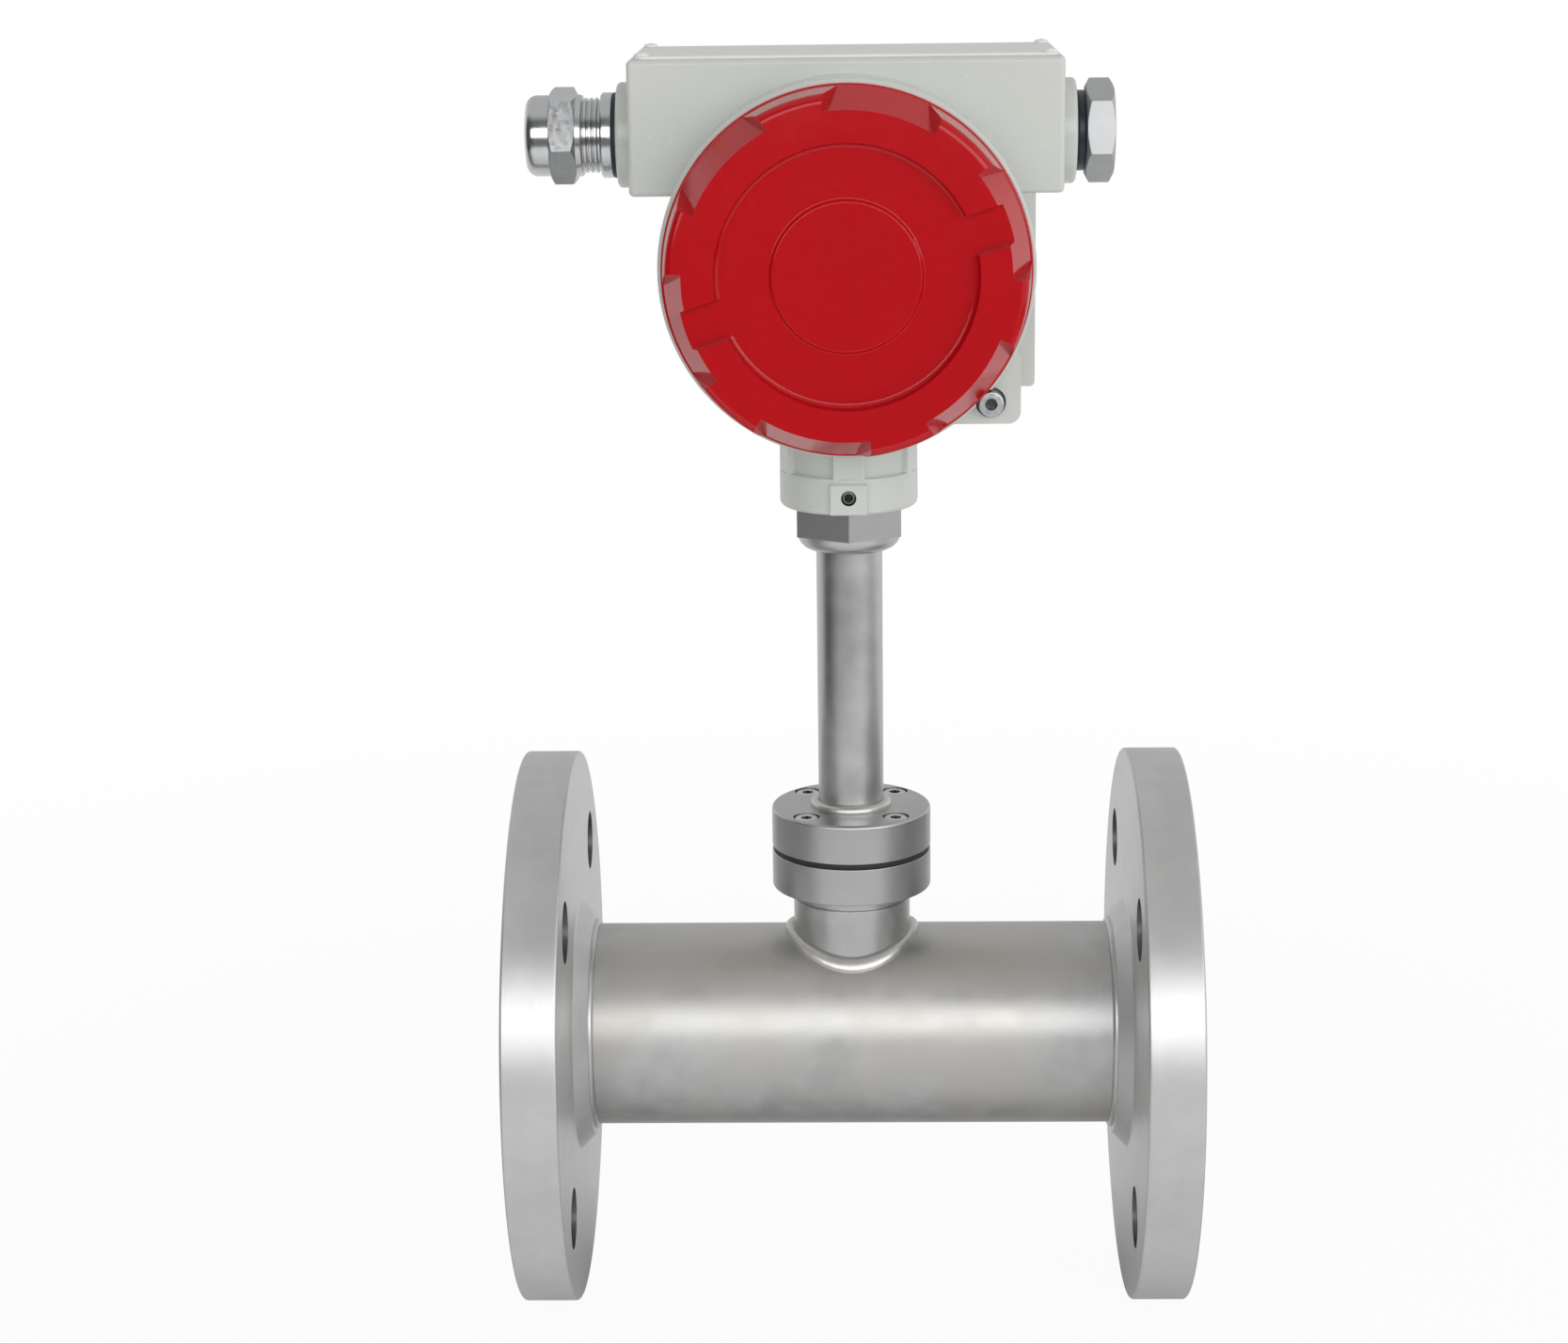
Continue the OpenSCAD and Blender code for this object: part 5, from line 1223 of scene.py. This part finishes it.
class METER_OT_stage(bpy.types.Operator):
    """Sets the floor, the lamp, the world and the camera"""

    bl_idname = "meter.stage"
    bl_label = "Stage"

    CAMERA_PLACE = (0.10279, -0.89954, 0.34122)
    CAMERA_YAW, CAMERA_PITCH, CAMERA_ROLL = -1.417, 14.434, -0.735
    FOCAL_PIXELS = 3358.75
    SENSOR = 36.0
    LAMP_PLACE, LAMP_SIZE, LAMP_POWER = (0.22, -1.50, 0.62), (3.6, 0.72), 20
    LAMP_AIM = (STEM_X, 0, 0.1)
    FLOOR_R = 1.15
    SHOWN = 0.94
    # Brightness that metal mirrors, where 1 is white; the darker value right under the meter is a
    # painted shadow
    FLOOR_UNDER, FLOOR_NEAR, FLOOR_FRONT, FLOOR_FAR, FLOOR_BACK = 0.3, 0.7, 0.92, 0.2, 0.8
    ROOM_LEFT, ROOM_FRONT, ROOM_RIGHT, ROOM_BACK, ROOM_CORNERS = 0.1, 0.2, 0.8, 0.6, 0.95
    CEILING = 0.6

    def floor(self):
        """A white disc, whose brightness for the camera and for mirrors is set apart, with a painted
        shadow under the meter for mirrors.
        """
        bm = bmesh.new()
        bmesh.ops.create_circle(bm, cap_ends=True, segments=96, radius=self.FLOOR_R)
        bmesh.ops.translate(bm, verts=bm.verts, vec=(STEM_X, 0, INLET_LOW.z))
        data = mesh_of(bm, "floor")
        made = in_scene(data, "floor")
        finish = Finish("floor_white", Roughness=0.9, Base_Color=(0.86, 0.86, 0.86))
        mirrored = finish.shown("Glossy")
        away = finish.distance_from("Z", (STEM_X, 0, 0))
        side = (finish.along("X") - STEM_X) / away
        front = finish.ramp(away, 0.6, 0.85, self.FLOOR_FRONT, self.FLOOR_FAR) * finish.ramp(
            side, -1.0, -0.72, 0.22, 1.0) * finish.ramp(side, 0.8, 1.0, 1.0, 0.7)
        around = front.toward(self.FLOOR_BACK, finish.ramp(finish.along("Y"), 0.0, 0.3))
        # Painted shadow: mirrors see the floor darker just under the meter
        near = finish.ramp(finish.along("Y").math("ABSOLUTE"), 0.01, 0.07, self.FLOOR_UNDER,
                           self.FLOOR_NEAR)
        around = around.toward(near, finish.ramp(away, 0.15, 0.35, 1.0, 0.0))
        glow = finish.node("ShaderNodeEmission", {}, {
            "Color": (1, 1, 1), "Strength": (1 - mirrored).toward(around, mirrored)})
        seen = finish.shown("Camera", "Transmission") * finish.ramp(away, 0.3, 0.8, self.SHOWN, 1.0)
        mixed = finish.node("ShaderNodeMixShader", {}, {
            0: seen + mirrored, 1: finish.shader.outputs[0], 2: glow.outputs[0]})
        finish.feed(finish.output.inputs["Surface"], mixed.outputs[0])
        data.materials.append(finish.material)

    def lamp(self):
        data = bpy.data.lights.new("key_softbox", "AREA")
        data.shape = "RECTANGLE"
        data.size, data.size_y = self.LAMP_SIZE
        data.energy = self.LAMP_POWER
        made = in_scene(data, "key_softbox")
        made.location = self.LAMP_PLACE
        made.rotation_mode = "QUATERNION"
        way = Vector(self.LAMP_AIM) - Vector(self.LAMP_PLACE)
        made.rotation_quaternion = way.to_track_quat("-Z", "Y")

    def world(self):
        """A white backdrop behind the meter up to a height, and a dim room round the rest."""
        world = bpy.data.worlds.new("studio")
        bpy.context.scene.world = world
        graph = Graph(world)
        way = graph.node("ShaderNodeSeparateXYZ", {}, {
            0: graph.node("ShaderNodeTexCoord").outputs["Generated"]}).outputs
        x, y, z = (Value(graph, way[axis]) for axis in "XYZ")
        front = graph.ramp(x, -0.7, -0.1, self.ROOM_LEFT, self.ROOM_FRONT) + graph.ramp(
            x, 0.2, 0.8, 0.0, self.ROOM_RIGHT - self.ROOM_FRONT)
        back = graph.ramp(x.math("ABSOLUTE"), 0.2, 0.6, self.ROOM_BACK, self.ROOM_CORNERS)
        light = front.toward(back, graph.ramp(y, 0.1, 0.5))
        light = light.toward(self.CEILING, graph.ramp(z + y * 0.4, 0.45, 0.7))
        light = light.toward(1.0, graph.shown("Camera", "Transmission"))
        sky = graph.node("ShaderNodeBackground", {}, {"Color": (1, 1, 1), "Strength": light})
        graph.node("ShaderNodeOutputWorld", {}, {"Surface": sky.outputs[0]})

    def camera(self):
        data = bpy.data.cameras.new("camera")
        data.sensor_width = self.SENSOR
        data.sensor_fit = "HORIZONTAL"
        data.lens = self.SENSOR * self.FOCAL_PIXELS / IMAGE_WIDTH
        data.clip_start, data.clip_end = 0.01, 100
        made = in_scene(data, "camera")
        made.matrix_world = at(*self.CAMERA_PLACE, -self.CAMERA_YAW) @ at(
            0, 0, 0, 90 - self.CAMERA_PITCH, "X") @ at(0, 0, 0, self.CAMERA_ROLL)
        bpy.context.scene.camera = made

    def execute(self, context):
        context.scene.view_settings.view_transform = "Standard"
        self.floor()
        self.world()
        self.camera()
        self.lamp()
        return {"FINISHED"}


class METER_PT_pieces(bpy.types.Panel):
    """Lists the pieces of the meter"""

    bl_idname = "METER_PT_pieces"
    bl_label = "Flow Meter"
    bl_space_type = "VIEW_3D"
    bl_region_type = "UI"
    bl_category = "Flow Meter"

    def draw(self, context):
        for step in STEPS:
            self.layout.operator(step.bl_idname)
        for group in ("spool", "cover", "housing", "colours"):
            box = self.layout.box()
            values = getattr(context.scene.flow_meter, group)
            for key in values.__annotations__:
                box.prop(values, key)


STEPS = (
    METER_OT_stage, METER_OT_pipe, METER_OT_flanges, METER_OT_branch, METER_OT_sensor_flanges,
    METER_OT_stem, METER_OT_housing, METER_OT_housing_screws, METER_OT_nameplate,
    METER_OT_front_cover, METER_OT_rear_cover, METER_OT_gland, METER_OT_plug,
    METER_OT_inner_finishes,
)
CLASSES = (SpoolSizes, CoverSizes, HousingSizes, Colours, MeterSettings, *STEPS, METER_PT_pieces)


def register():
    for item in CLASSES:
        bpy.utils.register_class(item)
    bpy.types.Scene.flow_meter = bpy.props.PointerProperty(
        type=MeterSettings, name="Flow meter", description="Settings of the flow meter")


def unregister():
    del bpy.types.Scene.flow_meter
    for item in reversed(CLASSES):
        bpy.utils.unregister_class(item)


def main():
    """Builds every piece."""
    register()
    for step in STEPS:
        prefix, name = step.bl_idname.split(".")
        getattr(getattr(bpy.ops, prefix), name)()


if __name__ == "__main__":
    main()
